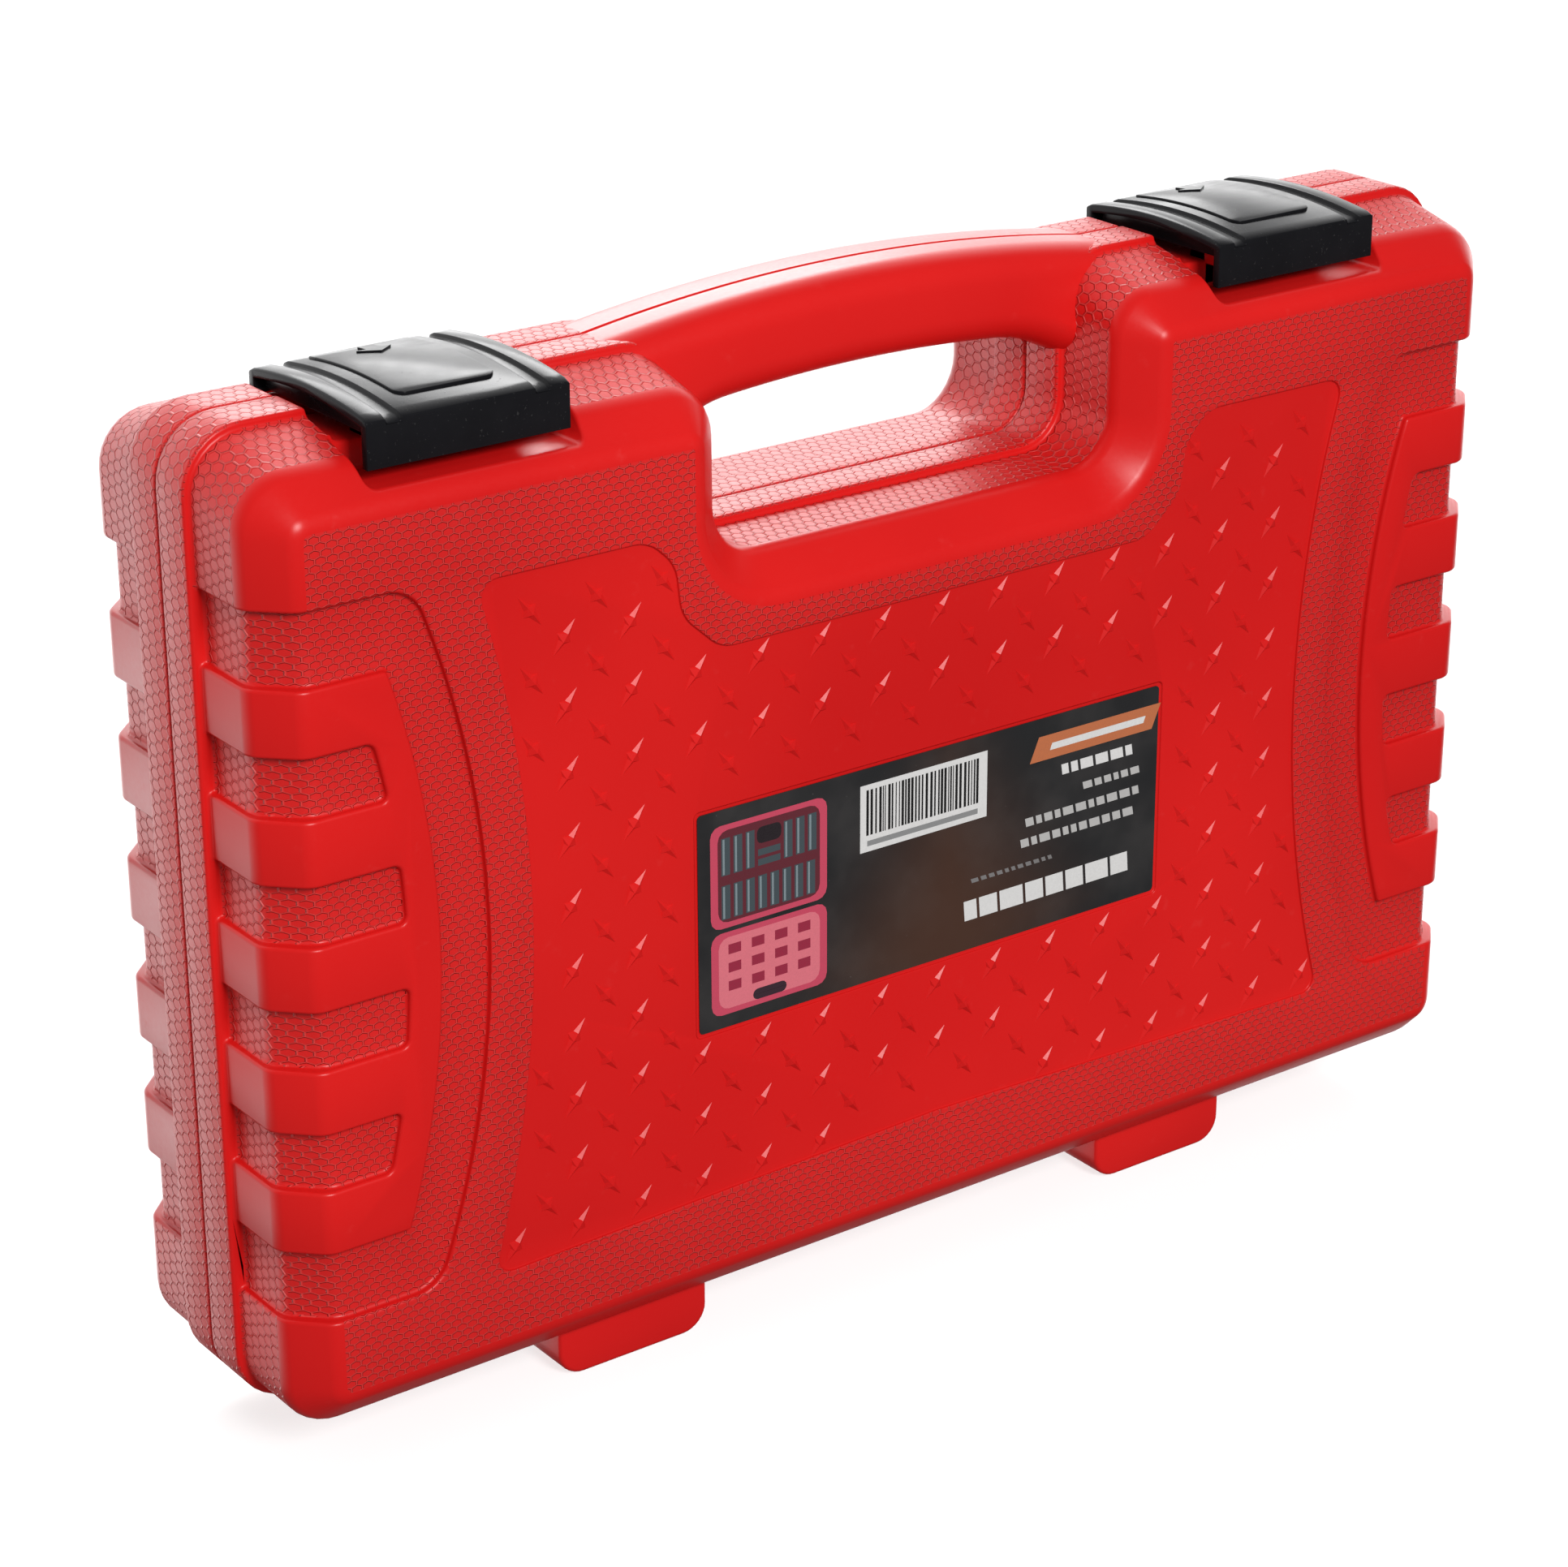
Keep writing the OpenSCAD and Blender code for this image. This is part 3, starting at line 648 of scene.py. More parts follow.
# %% Start and finish a material
def new_material(name):
    material = bpy.data.materials.new(name)
    material.use_nodes = True
    material.node_tree.nodes.clear()
    wire = Wire(material.node_tree)
    where = wire.node("ShaderNodeTexCoord", output=3)
    return material, wire, where


def finish_material(wire, inputs, height=None, distance=0.0002, strength=1.0):
    if height is not None:
        inputs["Normal"] = wire.node("ShaderNodeBump", {}, {"Height": height, "Distance": distance,
                                                            "Strength": strength})
    shader = wire.node("ShaderNodeBsdfPrincipled", {}, inputs)
    wire.node("ShaderNodeOutputMaterial", {}, {0: shader})


# %% [markdown]
# ## Red polyethylene
# The honeycomb is a plain hexagon formula on the grain map: two lattices of cell centres, the nearer one
# wins, and the distance to the cell's edge gives a thin raised line. The lines are painted paler, a painted
# highlight where the raised lines would catch the light. A slow noise changes the red a little from place to
# place, and a fine one keeps the gloss from being even.

# %% Make the red finishes
RED = (0.64, 0.010, 0.009, 1)
DEEP_RED = (0.57, 0.007, 0.007, 1)
# PALE_RED serves both as the painted highlight on the honeycomb ridges and as the colour of the scuffs.
PALE_RED = (0.74, 0.10, 0.09, 1)
CELL = 2.9
ROW = math.sqrt(3)


def honeycomb(wire):
    uv = wire.node("ShaderNodeUVMap", {"uv_map": "grain"})
    u, v = wire.axis(uv, 0) / CELL, wire.axis(uv, 1) / (CELL * 0.86)
    near_u, near_v = u % 1.0 - 0.5, v % ROW - ROW / 2
    far_u, far_v = (u - 0.5) % 1.0 - 0.5, (v - ROW / 2) % ROW - ROW / 2
    pick = near_u * near_u + near_v * near_v < far_u * far_u + far_v * far_v
    cell_u = abs(near_u * pick + far_u * (1 - pick))
    cell_v = abs(near_v * pick + far_v * (1 - pick))
    reach = wire.math("MAXIMUM", cell_u * 0.5 + cell_v * (ROW / 2), cell_u)
    return reach.ramp(0.385, 0.475)


def red_material(name, grained):
    material, wire, where = new_material(name)
    slow = wire.noise(where, 9.0, 3.0)
    fine = wire.noise(where, 900.0, 2.0)
    scuff = wire.noise(where, 160.0, 4.0, 0.65).ramp(0.62, 0.78)
    colour = slow.ramp(0.3, 0.7).mix(DEEP_RED, RED)
    height = fine * 0.06 + slow * 0.5
    if grained:
        ridge = honeycomb(wire)
        # Painted highlight: the raised honeycomb lines are painted paler, as if they caught the light.
        colour = (ridge * 0.30).mix(colour, PALE_RED)
        height = height + ridge
        rough = 0.36 + fine * 0.10 + ridge * 0.03
    else:
        rough = 0.27 + fine * 0.10 + scuff * 0.08
    colour = (scuff * 0.06).mix(colour, PALE_RED)
    finish_material(wire, {"Base Color": colour, "Roughness": rough,
                           "Specular IOR Level": 0.4 if grained else 0.24},
                    height, distance=0.0004 if grained else 0.00008)
    return material


red_grain = red_material("red, honeycomb grain", True)
red_smooth = red_material("red, smooth", False)
red_floor = red_material("red, recess grain", True)
REDS = [red_grain, red_smooth, red_floor]


# %% [markdown]
# ## Black latch plastic, steel and phosphate
# The latches are glossy with faint smears. The pins are drawn wire, streaked along their length. The
# sockets are black phosphate: dark, a little metallic and cloudy, with finer wear lines.

# %% Make the hard finishes
def black_plastic():
    material, wire, where = new_material("black latch plastic")
    smear = wire.noise(where, 60.0, 4.0, 0.6)
    specks = wire.noise(where, 1400.0, 1.0).ramp(0.70, 0.78)
    colour = smear.mix((0.006, 0.006, 0.007, 1), (0.013, 0.013, 0.015, 1))
    colour = (specks * 0.25).mix(colour, (0.09, 0.09, 0.09, 1))
    finish_material(wire, {"Base Color": colour, "Roughness": smear.ramp(0.2, 0.9, 0.14, 0.30),
                           "Specular IOR Level": 0.06}, smear + specks * 0.2, distance=0.00004)
    return material


def drawn_steel():
    material, wire, where = new_material("drawn steel pin")
    stretched = wire.node("ShaderNodeMapping", {}, {0: where, 3: (40, 2200, 2200)})
    streak = wire.noise(stretched, 1.0, 3.0, 0.7)
    colour = streak.mix((0.42, 0.42, 0.43, 1), (0.68, 0.67, 0.66, 1))
    finish_material(wire, {"Base Color": colour, "Metallic": 1.0,
                           "Roughness": streak.ramp(0.2, 0.8, 0.22, 0.42)},
                    streak, distance=0.00002)
    return material


def black_phosphate():
    material, wire, where = new_material("black phosphate steel")
    cloud = wire.noise(where, 45.0, 5.0, 0.6)
    grit = wire.noise(where, 1500.0, 2.0)
    wear = wire.noise(where, 260.0, 5.0, 0.72).ramp(0.63, 0.75)
    colour = cloud.mix((0.028, 0.029, 0.032, 1), (0.058, 0.058, 0.062, 1))
    colour = (wear * 0.35).mix(colour, (0.22, 0.21, 0.20, 1))
    finish_material(wire, {"Base Color": colour, "Metallic": 0.75 + wear * 0.2,
                           "Roughness": 0.34 + grit * 0.16 - wear * 0.08}, grit + cloud, distance=0.00003)
    return material


BLACK, STEEL, PHOSPHATE = black_plastic(), drawn_steel(), black_phosphate()


# %% [markdown]
# ## The two halves
# Lid and base share the outside. The lid then gets latch pockets, the tray and the label's recess. The
# base gets its own pockets, the deck and the nests. A face with sixteen holes shades badly, so the deck is
# cut into bands through the middles of the nests. The rooms for the other half's hinge knuckles are cut
# last.

# %% Shared outside of both halves
HINGE_X, HINGE_W, KNUCKLE_R, KNUCKLE_GAP = 86 * MM, 44 * MM, 6.3 * MM, 0.5 * MM
HINGE_Z = joints["lid_hinge"]["pos_m"][2]
KNUCKLE_W = (HINGE_W - 4 * KNUCKLE_GAP) / 5


def outside(name):
    skin = half_skin(name, 0, REDS)
    inner = half_skin("inner", 2 * MM, REDS)
    for side in (-1, 1):
        boolean(skin, recess_tool(side, inner, REDS))
    bpy.data.objects.remove(inner)
    for poly in skin.data.polygons:
        x, z = abs(poly.center.x) - ARC_X, poly.center.z - MID_Z
        on_comb = math.hypot(x, z) < COMB_R + 0.1 * MM and abs(z) < COMB_HALF + 0.1 * MM
        if poly.material_index == GRAIN and on_comb and abs(poly.center.y) > FLANGE_W + 0.1 * MM:
            poly.material_index = SMOOTH
    boolean(skin, panel_tool(REDS, SMOOTH))
    return skin


def along_x(bm, start, length, y, z, radius, segments=32):
    made = bmesh.ops.create_cone(bm, cap_ends=True, segments=segments, radius1=radius, radius2=radius,
                                 depth=length, matrix=Matrix.Translation((start + length / 2, y, z))
                                 @ Matrix.Rotation(math.radians(90), 4, "Y"))["verts"]
    return made


def knuckle_rooms(first):
    bm = bmesh.new()
    for hinge in (-HINGE_X, HINGE_X):
        for i in range(first, 5, 2):
            start = hinge - HINGE_W / 2 + i * (KNUCKLE_W + KNUCKLE_GAP) - KNUCKLE_GAP
            along_x(bm, start, KNUCKLE_W + 2 * KNUCKLE_GAP, 0, HINGE_Z, KNUCKLE_R + 0.3 * MM)
    for face in bm.faces:
        face.material_index = SMOOTH
    return as_object("rooms", bm, REDS)


# %% [markdown]
# ## Lid
# The lid is the half with the label. It is cut from the outside inwards, and its sharp edges are softened
# last.

# %% Lid
lid = outside("lid_skin")
label_room = box_bm((-LABEL_W / 2 - MM, -HALF_D - MM, LABEL_Z - LABEL_H / 2 - MM),
                    (LABEL_W / 2 + MM, -HALF_D + PANEL_DEPTH + 0.5 * MM, LABEL_Z + LABEL_H / 2 + MM))
round_edges(label_room, 1, 1.5 * MM, 4)
for wall in label_room.faces:
    wall.material_index = SMOOTH
boolean(lid, as_object("label_room", label_room, REDS))
LEDGE_Z, PLATFORM_Z, PLATFORM_DEPTH = TOP_Z - 6 * MM, TOP_Z + MM, 22 * MM
for x in latch_x:
    boolean(lid, pocket_tool(x, PLATFORM_DEPTH, HALF_D + 2 * MM, LEDGE_Z, REDS))
    boolean(lid, pocket_tool(x, -MM, PLATFORM_DEPTH + MM, PLATFORM_Z, REDS))
boolean(lid, tray_tool(LID_TRAY, REDS))
boolean(lid, knuckle_rooms(0))
soften(lid, share_of=panel_share)
grain_map(lid)
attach(lid, "lid")
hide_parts("lid_shell")

# %% [markdown]
# ## Base
# The base holds the nests. It is made on the lid's side and turned over before the nests are cut, as those
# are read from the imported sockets.

# %% Base
base = outside("base_skin")
for x in latch_x:
    boolean(base, pocket_tool(x, -MM, 21.5 * MM, TOP_Z - 3 * MM, REDS))
boolean(base, tray_tool(BASE_DECK, REDS))
boolean(base, knuckle_rooms(1))
flipped(base, 1)
nests = nest_tools(REDS)
boolean(base, nests)
rows = sorted({round(socket_room(name)[0].z, 4) for name in sockets})
print("the deck is cut at", rows)
soften(base, share_of=panel_share, cuts=rows)
grain_map(base)
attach(base, "base")
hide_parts("base_shell")
print("halves hold", len(lid.data.polygons) + len(base.data.polygons), "faces")


# %% [markdown]
# ## Handle
# Each half has half of the bar. A rounded half section is carried along a shallow arc. Near the towers it
# grows downwards and outwards, so that it runs into them with a soft throat. Its flat side stays a hair
# behind the joint plane, so its sunk ends don't lie in one plane with the flange.

# %% Sweep the handle
BAR_H, BAR_D, BAR_R = 23.5 * MM, 15 * MM, 8 * MM
BAR_REACH, BAR_SAG, BAR_APEX = GRIP_W + 16 * MM, 6.3 * MM, TOP_Z + 12.8 * MM
ARC_R = (BAR_REACH ** 2 + BAR_SAG ** 2) / (2 * BAR_SAG)
BAR_GAP = 0.05 * MM


def bar_section(grow_by):
    seam = 0.7 * MM
    top = [(0, seam)] + arc_points((-BAR_R, BAR_D - BAR_R), BAR_R, 0, 90, 8)
    low = arc_points((-BAR_H + BAR_R, BAR_D - BAR_R), BAR_R, 90, 180, 8) + [(-BAR_H, seam)]
    low = [(up - 3 * MM * grow_by, depth * (1 + 0.12 * grow_by)) for up, depth in low]
    return [(-seam, BAR_GAP)] + top + low + [(-BAR_H + seam - 3 * MM * grow_by, BAR_GAP)]


def handle_half(name, side):
    bm = bmesh.new()
    stations, limit = 64, math.asin(BAR_REACH / ARC_R)
    rings = []
    for k in range(stations + 1):
        turn = -limit + 2 * limit * k / stations
        near = max(0.0, (abs(math.sin(turn) * ARC_R) - (GRIP_W - 18 * MM)) / (18 * MM))
        ring = []
        for up, depth in bar_section(min(near, 1.15) ** 2.2):
            reach = ARC_R + up
            ring.append(bm.verts.new((reach * math.sin(turn), side * depth,
                                      BAR_APEX - ARC_R + reach * math.cos(turn))))
        rings.append(ring)
    for ring, following in zip(rings, rings[1:]):
        for i in range(len(ring)):
            j = (i + 1) % len(ring)
            bm.faces.new((ring[i], ring[j], following[j], following[i]))
    bm.faces.new(rings[0])
    bm.faces.new(rings[-1])
    handle = as_object(name, bm, [red_smooth])
    smooth_shade(handle, 40)
    return handle


def smooth_shade(obj, angle=35):
    for poly in obj.data.polygons:
        poly.use_smooth = True
    bm = bmesh.new()
    bm.from_mesh(obj.data)
    for edge in bm.edges:
        edge.smooth = len(edge.link_faces) == 2 and edge.calc_face_angle(0) < math.radians(angle)
    bm.to_mesh(obj.data)
    bm.free()
    return obj


for shell in (lid, base):
    smooth_shade(shell)
for name, side, body in (("lid_handle", -1, "lid"), ("base_handle", 1, "base")):
    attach(handle_half(name, side), body)

# %% [markdown]
# ## Feet, hinges, lugs and catch ribs
# These are the small parts of each half. The feet are blocks with round corners. A hinge is five barrels,
# each with a bar that runs back under its half. The lugs stand on the lid's ledge and hold a latch pin,
# and the ribs are what the latch hooks catch.

# %% Build the small parts
FOOT_Y, FOOT_START = 30 * MM, FLANGE_W + 0.8 * MM
feet = {"lid": [(x, HINGE_W) for x in (-HINGE_X, HINGE_X)],
        "base": [(x, 38 * MM) for x in (-127.8 * MM, 127.8 * MM)]}


def bevelled(bm, width, segments=3, angle=30):
    edges = [e for e in bm.edges if len(e.link_faces) == 2 and e.calc_face_angle(0) > math.radians(angle)]
    bmesh.ops.bevel(bm, geom=edges, offset=width, segments=segments, profile=0.5, affect="EDGES",
                    material=-1)
    return bm


def joined(name, parts, material, body):
    bm = bmesh.new()
    for part in parts:
        mesh = bpy.data.meshes.new("part")
        part.to_mesh(mesh)
        part.free()
        bm.from_mesh(mesh)
        bpy.data.meshes.remove(mesh)
    obj = smooth_shade(as_object(name, bm, [material]))
    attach(obj, body)
    return obj


def foot_bm(x, width, side):
    low, high = sorted((side * FOOT_START, side * FOOT_Y))
    bm = box_bm((x - width / 2, low, 0), (x + width / 2, high, BODY_Z + 3 * MM))
    round_edges(bm, 1, 7 * MM, 8, pick=lambda co: co.z < 5 * MM)
    return bevelled(bm, 1.2 * MM)


def knuckle_bms(first, side, bar):
    parts = []
    for hinge in (-HINGE_X, HINGE_X):
        for i in range(first, 5, 2):
            start = hinge - HINGE_W / 2 + i * (KNUCKLE_W + KNUCKLE_GAP)
            barrel = bmesh.new()
            along_x(barrel, start, KNUCKLE_W, 0, HINGE_Z, KNUCKLE_R, 48)
            parts.append(bevelled(barrel, 0.5 * MM, angle=60))
            low, high = sorted((0, side * bar))
            strip = box_bm((start, low, HINGE_Z), (start + KNUCKLE_W, high, BODY_Z + MM))
            parts.append(bevelled(strip, 0.4 * MM))
    return parts


def lug_bms():
    parts = []
    pivot = joints["latch_left_pivot"]["pos_m"]
    for x in latch_x:
        for start, width in ((-20, 5.5), (-3, 6), (14.5, 5.5)):
            start, width = x + start * MM, width * MM
            ear = bmesh.new()
            along_x(ear, start, width, pivot[1], pivot[2], 2.7 * MM, 32)
            parts.append(bevelled(ear, 0.3 * MM, angle=60))
            arm = box_bm((start, pivot[1], pivot[2] - 1.9 * MM),
                         (start + width, -16 * MM, pivot[2] + 2.7 * MM))
            parts.append(bevelled(arm, 0.3 * MM))
            post = box_bm((start, -PLATFORM_DEPTH, LEDGE_Z - MM),
                          (start + width, -16 * MM, pivot[2] + 2.7 * MM))
            parts.append(bevelled(post, 0.3 * MM))
    return parts


def rib_bms():
    return [bevelled(box_bm((x - 26.25 * MM, 11.3 * MM, TOP_Z - 4 * MM), (x + 26.25 * MM, 14.5 * MM,
                            TOP_Z + 2.8 * MM)), 0.8 * MM) for x in latch_x]


joined("lid_feet", [foot_bm(x, w, -1) for x, w in feet["lid"]], red_smooth, "lid")
joined("base_feet", [foot_bm(x, w, 1) for x, w in feet["base"]], red_smooth, "base")
joined("lid_knuckles", knuckle_bms(1, -1, 13.6 * MM), red_smooth, "lid")
joined("base_knuckles", knuckle_bms(0, 1, 9 * MM), red_smooth, "base")
joined("latch_lugs", lug_bms(), red_smooth, "lid")
joined("catch_ribs", rib_bms(), red_smooth, "base")
joined("press_pads", [bevelled(pads_bm(), 1.0 * MM)], red_smooth, "lid")


# %% [markdown]
# ## Tread studs
# Small pointed studs stand on both panels. Their columns are shifted by half a step in turn, and every
# second column leans the other way. A stud has four points, a low ridge and hollow flanks. Studs that
# would cross the panel's edge or the label are left out.

# %% Scatter the studs
STEP_X, STEP_Z = 9.0 * MM, 16.6 * MM
outline = panel_outline()


def inside_panel(x, z, margin):
    count = 0
    for (ax, az), (bx, bz) in zip(outline, outline[1:] + outline[:1]):
        if (az > z) != (bz > z) and x < (bx - ax) * (z - az) / (bz - az) + ax:
            count += 1
        length = max((bx - ax) ** 2 + (bz - az) ** 2, 1e-12)
        t = min(1, max(0, ((x - ax) * (bx - ax) + (z - az) * (bz - az)) / length))
        if math.hypot(ax + t * (bx - ax) - x, az + t * (bz - az) - z) < margin:
            return False
    return count % 2 == 1


def studs(name, side, keep_label_clear, body):
    bm = bmesh.new()
    floor = HALF_D - PANEL_DEPTH
    total = 0
    for column in range(-15, 16):
        lean = math.radians(38 if column % 2 else -38)
        for row in range(-6, 7):
            x = column * STEP_X
            z = MID_Z + (row + (0.5 if column % 2 else 0)) * STEP_Z
            near_label = abs(x) < LABEL_W / 2 + 3.5 * MM and abs(z - LABEL_Z) < LABEL_H / 2 + 4 * MM
            if not inside_panel(x, z, 3.2 * MM) or keep_label_clear and near_label:
                continue
            rim = []
            for k in range(8):
                reach = (5.2, 1.5, 2.3, 1.5)[k % 4] * MM
                turn = math.pi / 4 * k + lean + math.pi / 2
                rim.append(bm.verts.new((x + reach * math.cos(turn), side * (floor - 0.02 * MM),
                                         z + reach * math.sin(turn))))
            top = []
            for end in (-1, 1):
                turn = lean + math.pi / 2
                top.append(bm.verts.new((x + end * 1.1 * MM * math.cos(turn), side * (HALF_D - 0.02 * MM),
                                         z + end * 1.1 * MM * math.sin(turn))))
            near, far = top[1], top[0]
            for k in range(8):
                peak = near if k in (6, 7, 0, 1) else far
                bm.faces.new((rim[k], rim[(k + 1) % 8], peak))
            bm.faces.new((rim[2], near, far))
            bm.faces.new((rim[6], far, near))
            total += 1
    made = as_object(name, bm, [red_smooth])
    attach(made, body)
    print(name, total)


studs("lid_studs", -1, True, "lid")
studs("base_studs", 1, False, "base")


# %% [markdown]
# ## Latches
# A latch is an arched shell, open at its sides. Its section is carried across the width, and the top drops
# in two channels, which leaves a rail at each side and a wide plate. The tongue and the arrow follow the
# arch, a little higher.

# %% Build one latch
LATCH_TOP, LATCH_RISE, LATCH_T = TOP_Z + 8.5 * MM, 2.2 * MM, 2.2 * MM
LATCH_FRONT, LATCH_BACK = -34 * MM, 17 * MM
LATCH_MID = (LATCH_FRONT + LATCH_BACK) / 2
LATCH_HALF = (LATCH_BACK - LATCH_FRONT) / 2
LATCH_R = (LATCH_HALF ** 2 + LATCH_RISE ** 2) / (2 * LATCH_RISE)
ACROSS = [(-26.25, 0.55), (-26.05, 0.18), (-25.6, 0), (-21.2, 0), (-20.9, 0.95), (-17.5, 0.95), (-17.2, 0),
          (17.2, 0), (17.5, 0.95), (20.9, 0.95), (21.2, 0), (25.6, 0), (26.05, 0.18), (26.25, 0.55)]


def arch_z(y, above=0.0):
    radius = LATCH_R + above
    return LATCH_TOP + LATCH_RISE - LATCH_R + math.sqrt(radius ** 2 - (y - LATCH_MID) ** 2)


def latch_section(drop):
    steps = 28
    outer = [LATCH_FRONT + (LATCH_BACK - LATCH_FRONT) * k / steps for k in range(steps + 1)]
    points = [(LATCH_FRONT, TOP_Z - 2.8 * MM), (LATCH_FRONT, LATCH_TOP - 1.6 * MM)]
    points += [(y, arch_z(y) - drop - (0.5 * MM if k in (0, steps) else 0)) for k, y in enumerate(outer)]
    lip = LATCH_BACK - LATCH_T
    points += [(LATCH_BACK, TOP_Z + 3.2 * MM), (lip - 1.2 * MM, TOP_Z + 3.2 * MM),
               (lip - 1.2 * MM, TOP_Z + 4.4 * MM),
               (lip, TOP_Z + 4.4 * MM)]
    inner = [lip - (lip - LATCH_FRONT - LATCH_T) * k / steps for k in range(steps + 1)]
    points += [(y, arch_z(y, -LATCH_T)) for y in inner]
    points.append((LATCH_FRONT + LATCH_T, TOP_Z - 2.8 * MM))
    return points


def skin_between(bm, rings):
    for ring, following in zip(rings, rings[1:]):
        for i in range(len(ring)):
            j = (i + 1) % len(ring)
            bm.faces.new((ring[i], ring[j], following[j], following[i]))
    bm.faces.new(rings[0])
    bm.faces.new(rings[-1])


def draped(points, low, high, x):
    bm = bmesh.new()
    face = bm.faces.new([bm.verts.new((x + px * MM, py * MM, 0)) for px, py in points])
    grown = bmesh.ops.extrude_face_region(bm, geom=[face])["geom"]
    bmesh.ops.translate(bm, vec=(0, 0, MM), verts=[g for g in grown if isinstance(g, bmesh.types.BMVert)])
    bmesh.ops.recalc_face_normals(bm, faces=bm.faces)
    for step in range(1, 14):
        cut = -34 + 51 * step / 14
        bmesh.ops.bisect_plane(bm, geom=bm.verts[:] + bm.edges[:] + bm.faces[:], plane_co=(0, cut * MM, 0),
                               plane_no=(0, 1, 0))
    for vert in bm.verts:
        vert.co.z = arch_z(vert.co.y, high if vert.co.z > 0.5 * MM else low)
    return bm


def latch_parts(x):
    body = bmesh.new()
    rings = [[body.verts.new((x + across * MM, y, z)) for y, z in latch_section(drop * MM)]
             for across, drop in ACROSS]
    skin_between(body, rings)
    bmesh.ops.recalc_face_normals(body, faces=body.faces)
    parts = [bevelled(body, 0.22 * MM, segments=2, angle=38)]
    tongue = [(-13, 13), (-13, -22.5)] + [(-13 + 3 - 3 * math.cos(a), -25.5 + 3 - 3 * math.sin(a))
                                          for a in (0.4, 0.8, 1.2)] + \
             [(-10, -25.5), (10, -25.5)] + [(13 - 3 + 3 * math.cos(a), -25.5 + 3 - 3 * math.sin(a))
                                            for a in (1.2, 0.8, 0.4)] + [(13, -22.5), (13, 13)]
    parts.append(bevelled(draped(tongue, -0.5 * MM, 0.6 * MM, x), 0.25 * MM, segments=2, angle=50))
    arrow = [(-4.5, 6.2), (0, 2.6), (4.5, 6.2), (2, 6.2), (2, 10), (-2, 10), (-2, 6.2)]
    parts.append(draped(arrow, 0.4 * MM, 1.0 * MM, x))
    for wall in (-24.2, 22.6):
        side = box_bm((x + wall * MM, LATCH_FRONT + 1.5 * MM, TOP_Z + 4.2 * MM),
                      (x + (wall + 1.6) * MM, LATCH_BACK - 4 * MM, LATCH_TOP - 0.5 * MM))
        parts.append(bevelled(side, 0.3 * MM))
    for start, width in ((-14, 10.5), (3.5, 10.5)):
        barrel = bmesh.new()
        pivot = joints["latch_left_pivot"]["pos_m"]
        along_x(barrel, x + start * MM, width * MM, pivot[1], pivot[2], 2.8 * MM, 32)
        parts.append(bevelled(barrel, 0.3 * MM, angle=60))
        web = box_bm((x + start * MM, LATCH_FRONT + 0.5 * MM, pivot[2] - 2.8 * MM),
                     (x + (start + width) * MM, pivot[1], pivot[2] + 2.8 * MM))
        parts.append(bevelled(web, 0.3 * MM))
    return parts


for name, x in zip(("latch_left", "latch_right"), latch_x):
    latch = joined(name + "_cover", latch_parts(x), BLACK, name)
    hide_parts(name)


# %% [markdown]
# ## Label
# The label is a thin film with rounded corners. Its print is a set of flat ink shapes, each with a colour
# stored in an attribute: a small picture of the open set, a bar panel, an orange strip and plain bars
# where words would be. It is stuck on upside down, so the picture's handle points downwards.

# %% Lay out the print
PAPER, INK, ORANGE = (0.68, 0.67, 0.66), (0.01, 0.01, 0.01), (0.50, 0.15, 0.06)
GREY, DIM = (0.46, 0.45, 0.44), (0.19, 0.18, 0.18)
PINK, ROSE, STEEL_BLUE = (0.55, 0.06, 0.11), (0.68, 0.16, 0.20), (0.055, 0.075, 0.085)
random_bars = np.random.default_rng(7)


class Print:
    def __init__(self):
        self.bm = bmesh.new()
        self.ink = self.bm.loops.layers.float_color.new("ink")
        self.lift = 0.0

    def area(self, points, colour, lift):
        level = -HALF_D + (PANEL_DEPTH + 0.2 * MM - lift * 0.01 * MM)
        verts = [self.bm.verts.new(((u - 0.5) * LABEL_W, level, LABEL_Z + (v - 0.5) * LABEL_H))
                 for u, v in points]
        face = self.bm.faces.new(verts)
        for loop in face.loops:
            loop[self.ink] = (*colour, 1)

    def box(self, u0, v0, u1, v1, colour, lift=1, lean=0.0):
        self.area([(u0, v0), (u1, v0), (u1 + lean, v1), (u0 + lean, v1)], colour, lift)

    def round_box(self, u0, v0, u1, v1, colour, lift=1, corner=0.02):
        tall = corner * LABEL_W / LABEL_H
        points = []
        for cu, cv, start in ((u1 - corner, v1 - tall, 0), (u0 + corner, v1 - tall, 90),
                              (u0 + corner, v0 + tall, 180), (u1 - corner, v0 + tall, 270)):
            for k in range(4):
                turn = math.radians(start + 30 * k)
                points.append((cu + corner * math.cos(turn), cv + tall * math.sin(turn)))
        self.area(points, colour, lift)


ink = Print()
ink.round_box(0.025, 0.46, 0.265, 0.93, PINK, 1)
ink.round_box(0.040, 0.485, 0.250, 0.905, (0.12, 0.02, 0.03), 2)
for place in range(8):
    left = 0.047 + place * 0.0250
    ink.box(left, 0.500, left + 0.018, 0.655, STEEL_BLUE, 3)
    ink.box(left + 0.003, 0.505, left + 0.007, 0.650, (0.20, 0.25, 0.27), 4)
for left in (0.047, 0.072, 0.097, 0.175, 0.200, 0.225):
    ink.box(left, 0.700, left + 0.018, 0.870, STEEL_BLUE, 3)
    ink.box(left + 0.003, 0.705, left + 0.007, 0.865, (0.20, 0.25, 0.27), 4)
for low in (0.700, 0.745):
    ink.box(0.122, low, 0.168, low + 0.030, STEEL_BLUE, 3)
ink.round_box(0.120, 0.80, 0.170, 0.875, (0.02, 0.015, 0.018), 3, 0.01)
ink.round_box(0.025, 0.06, 0.265, 0.44, PINK, 1)
ink.round_box(0.040, 0.085, 0.250, 0.415, ROSE, 2)
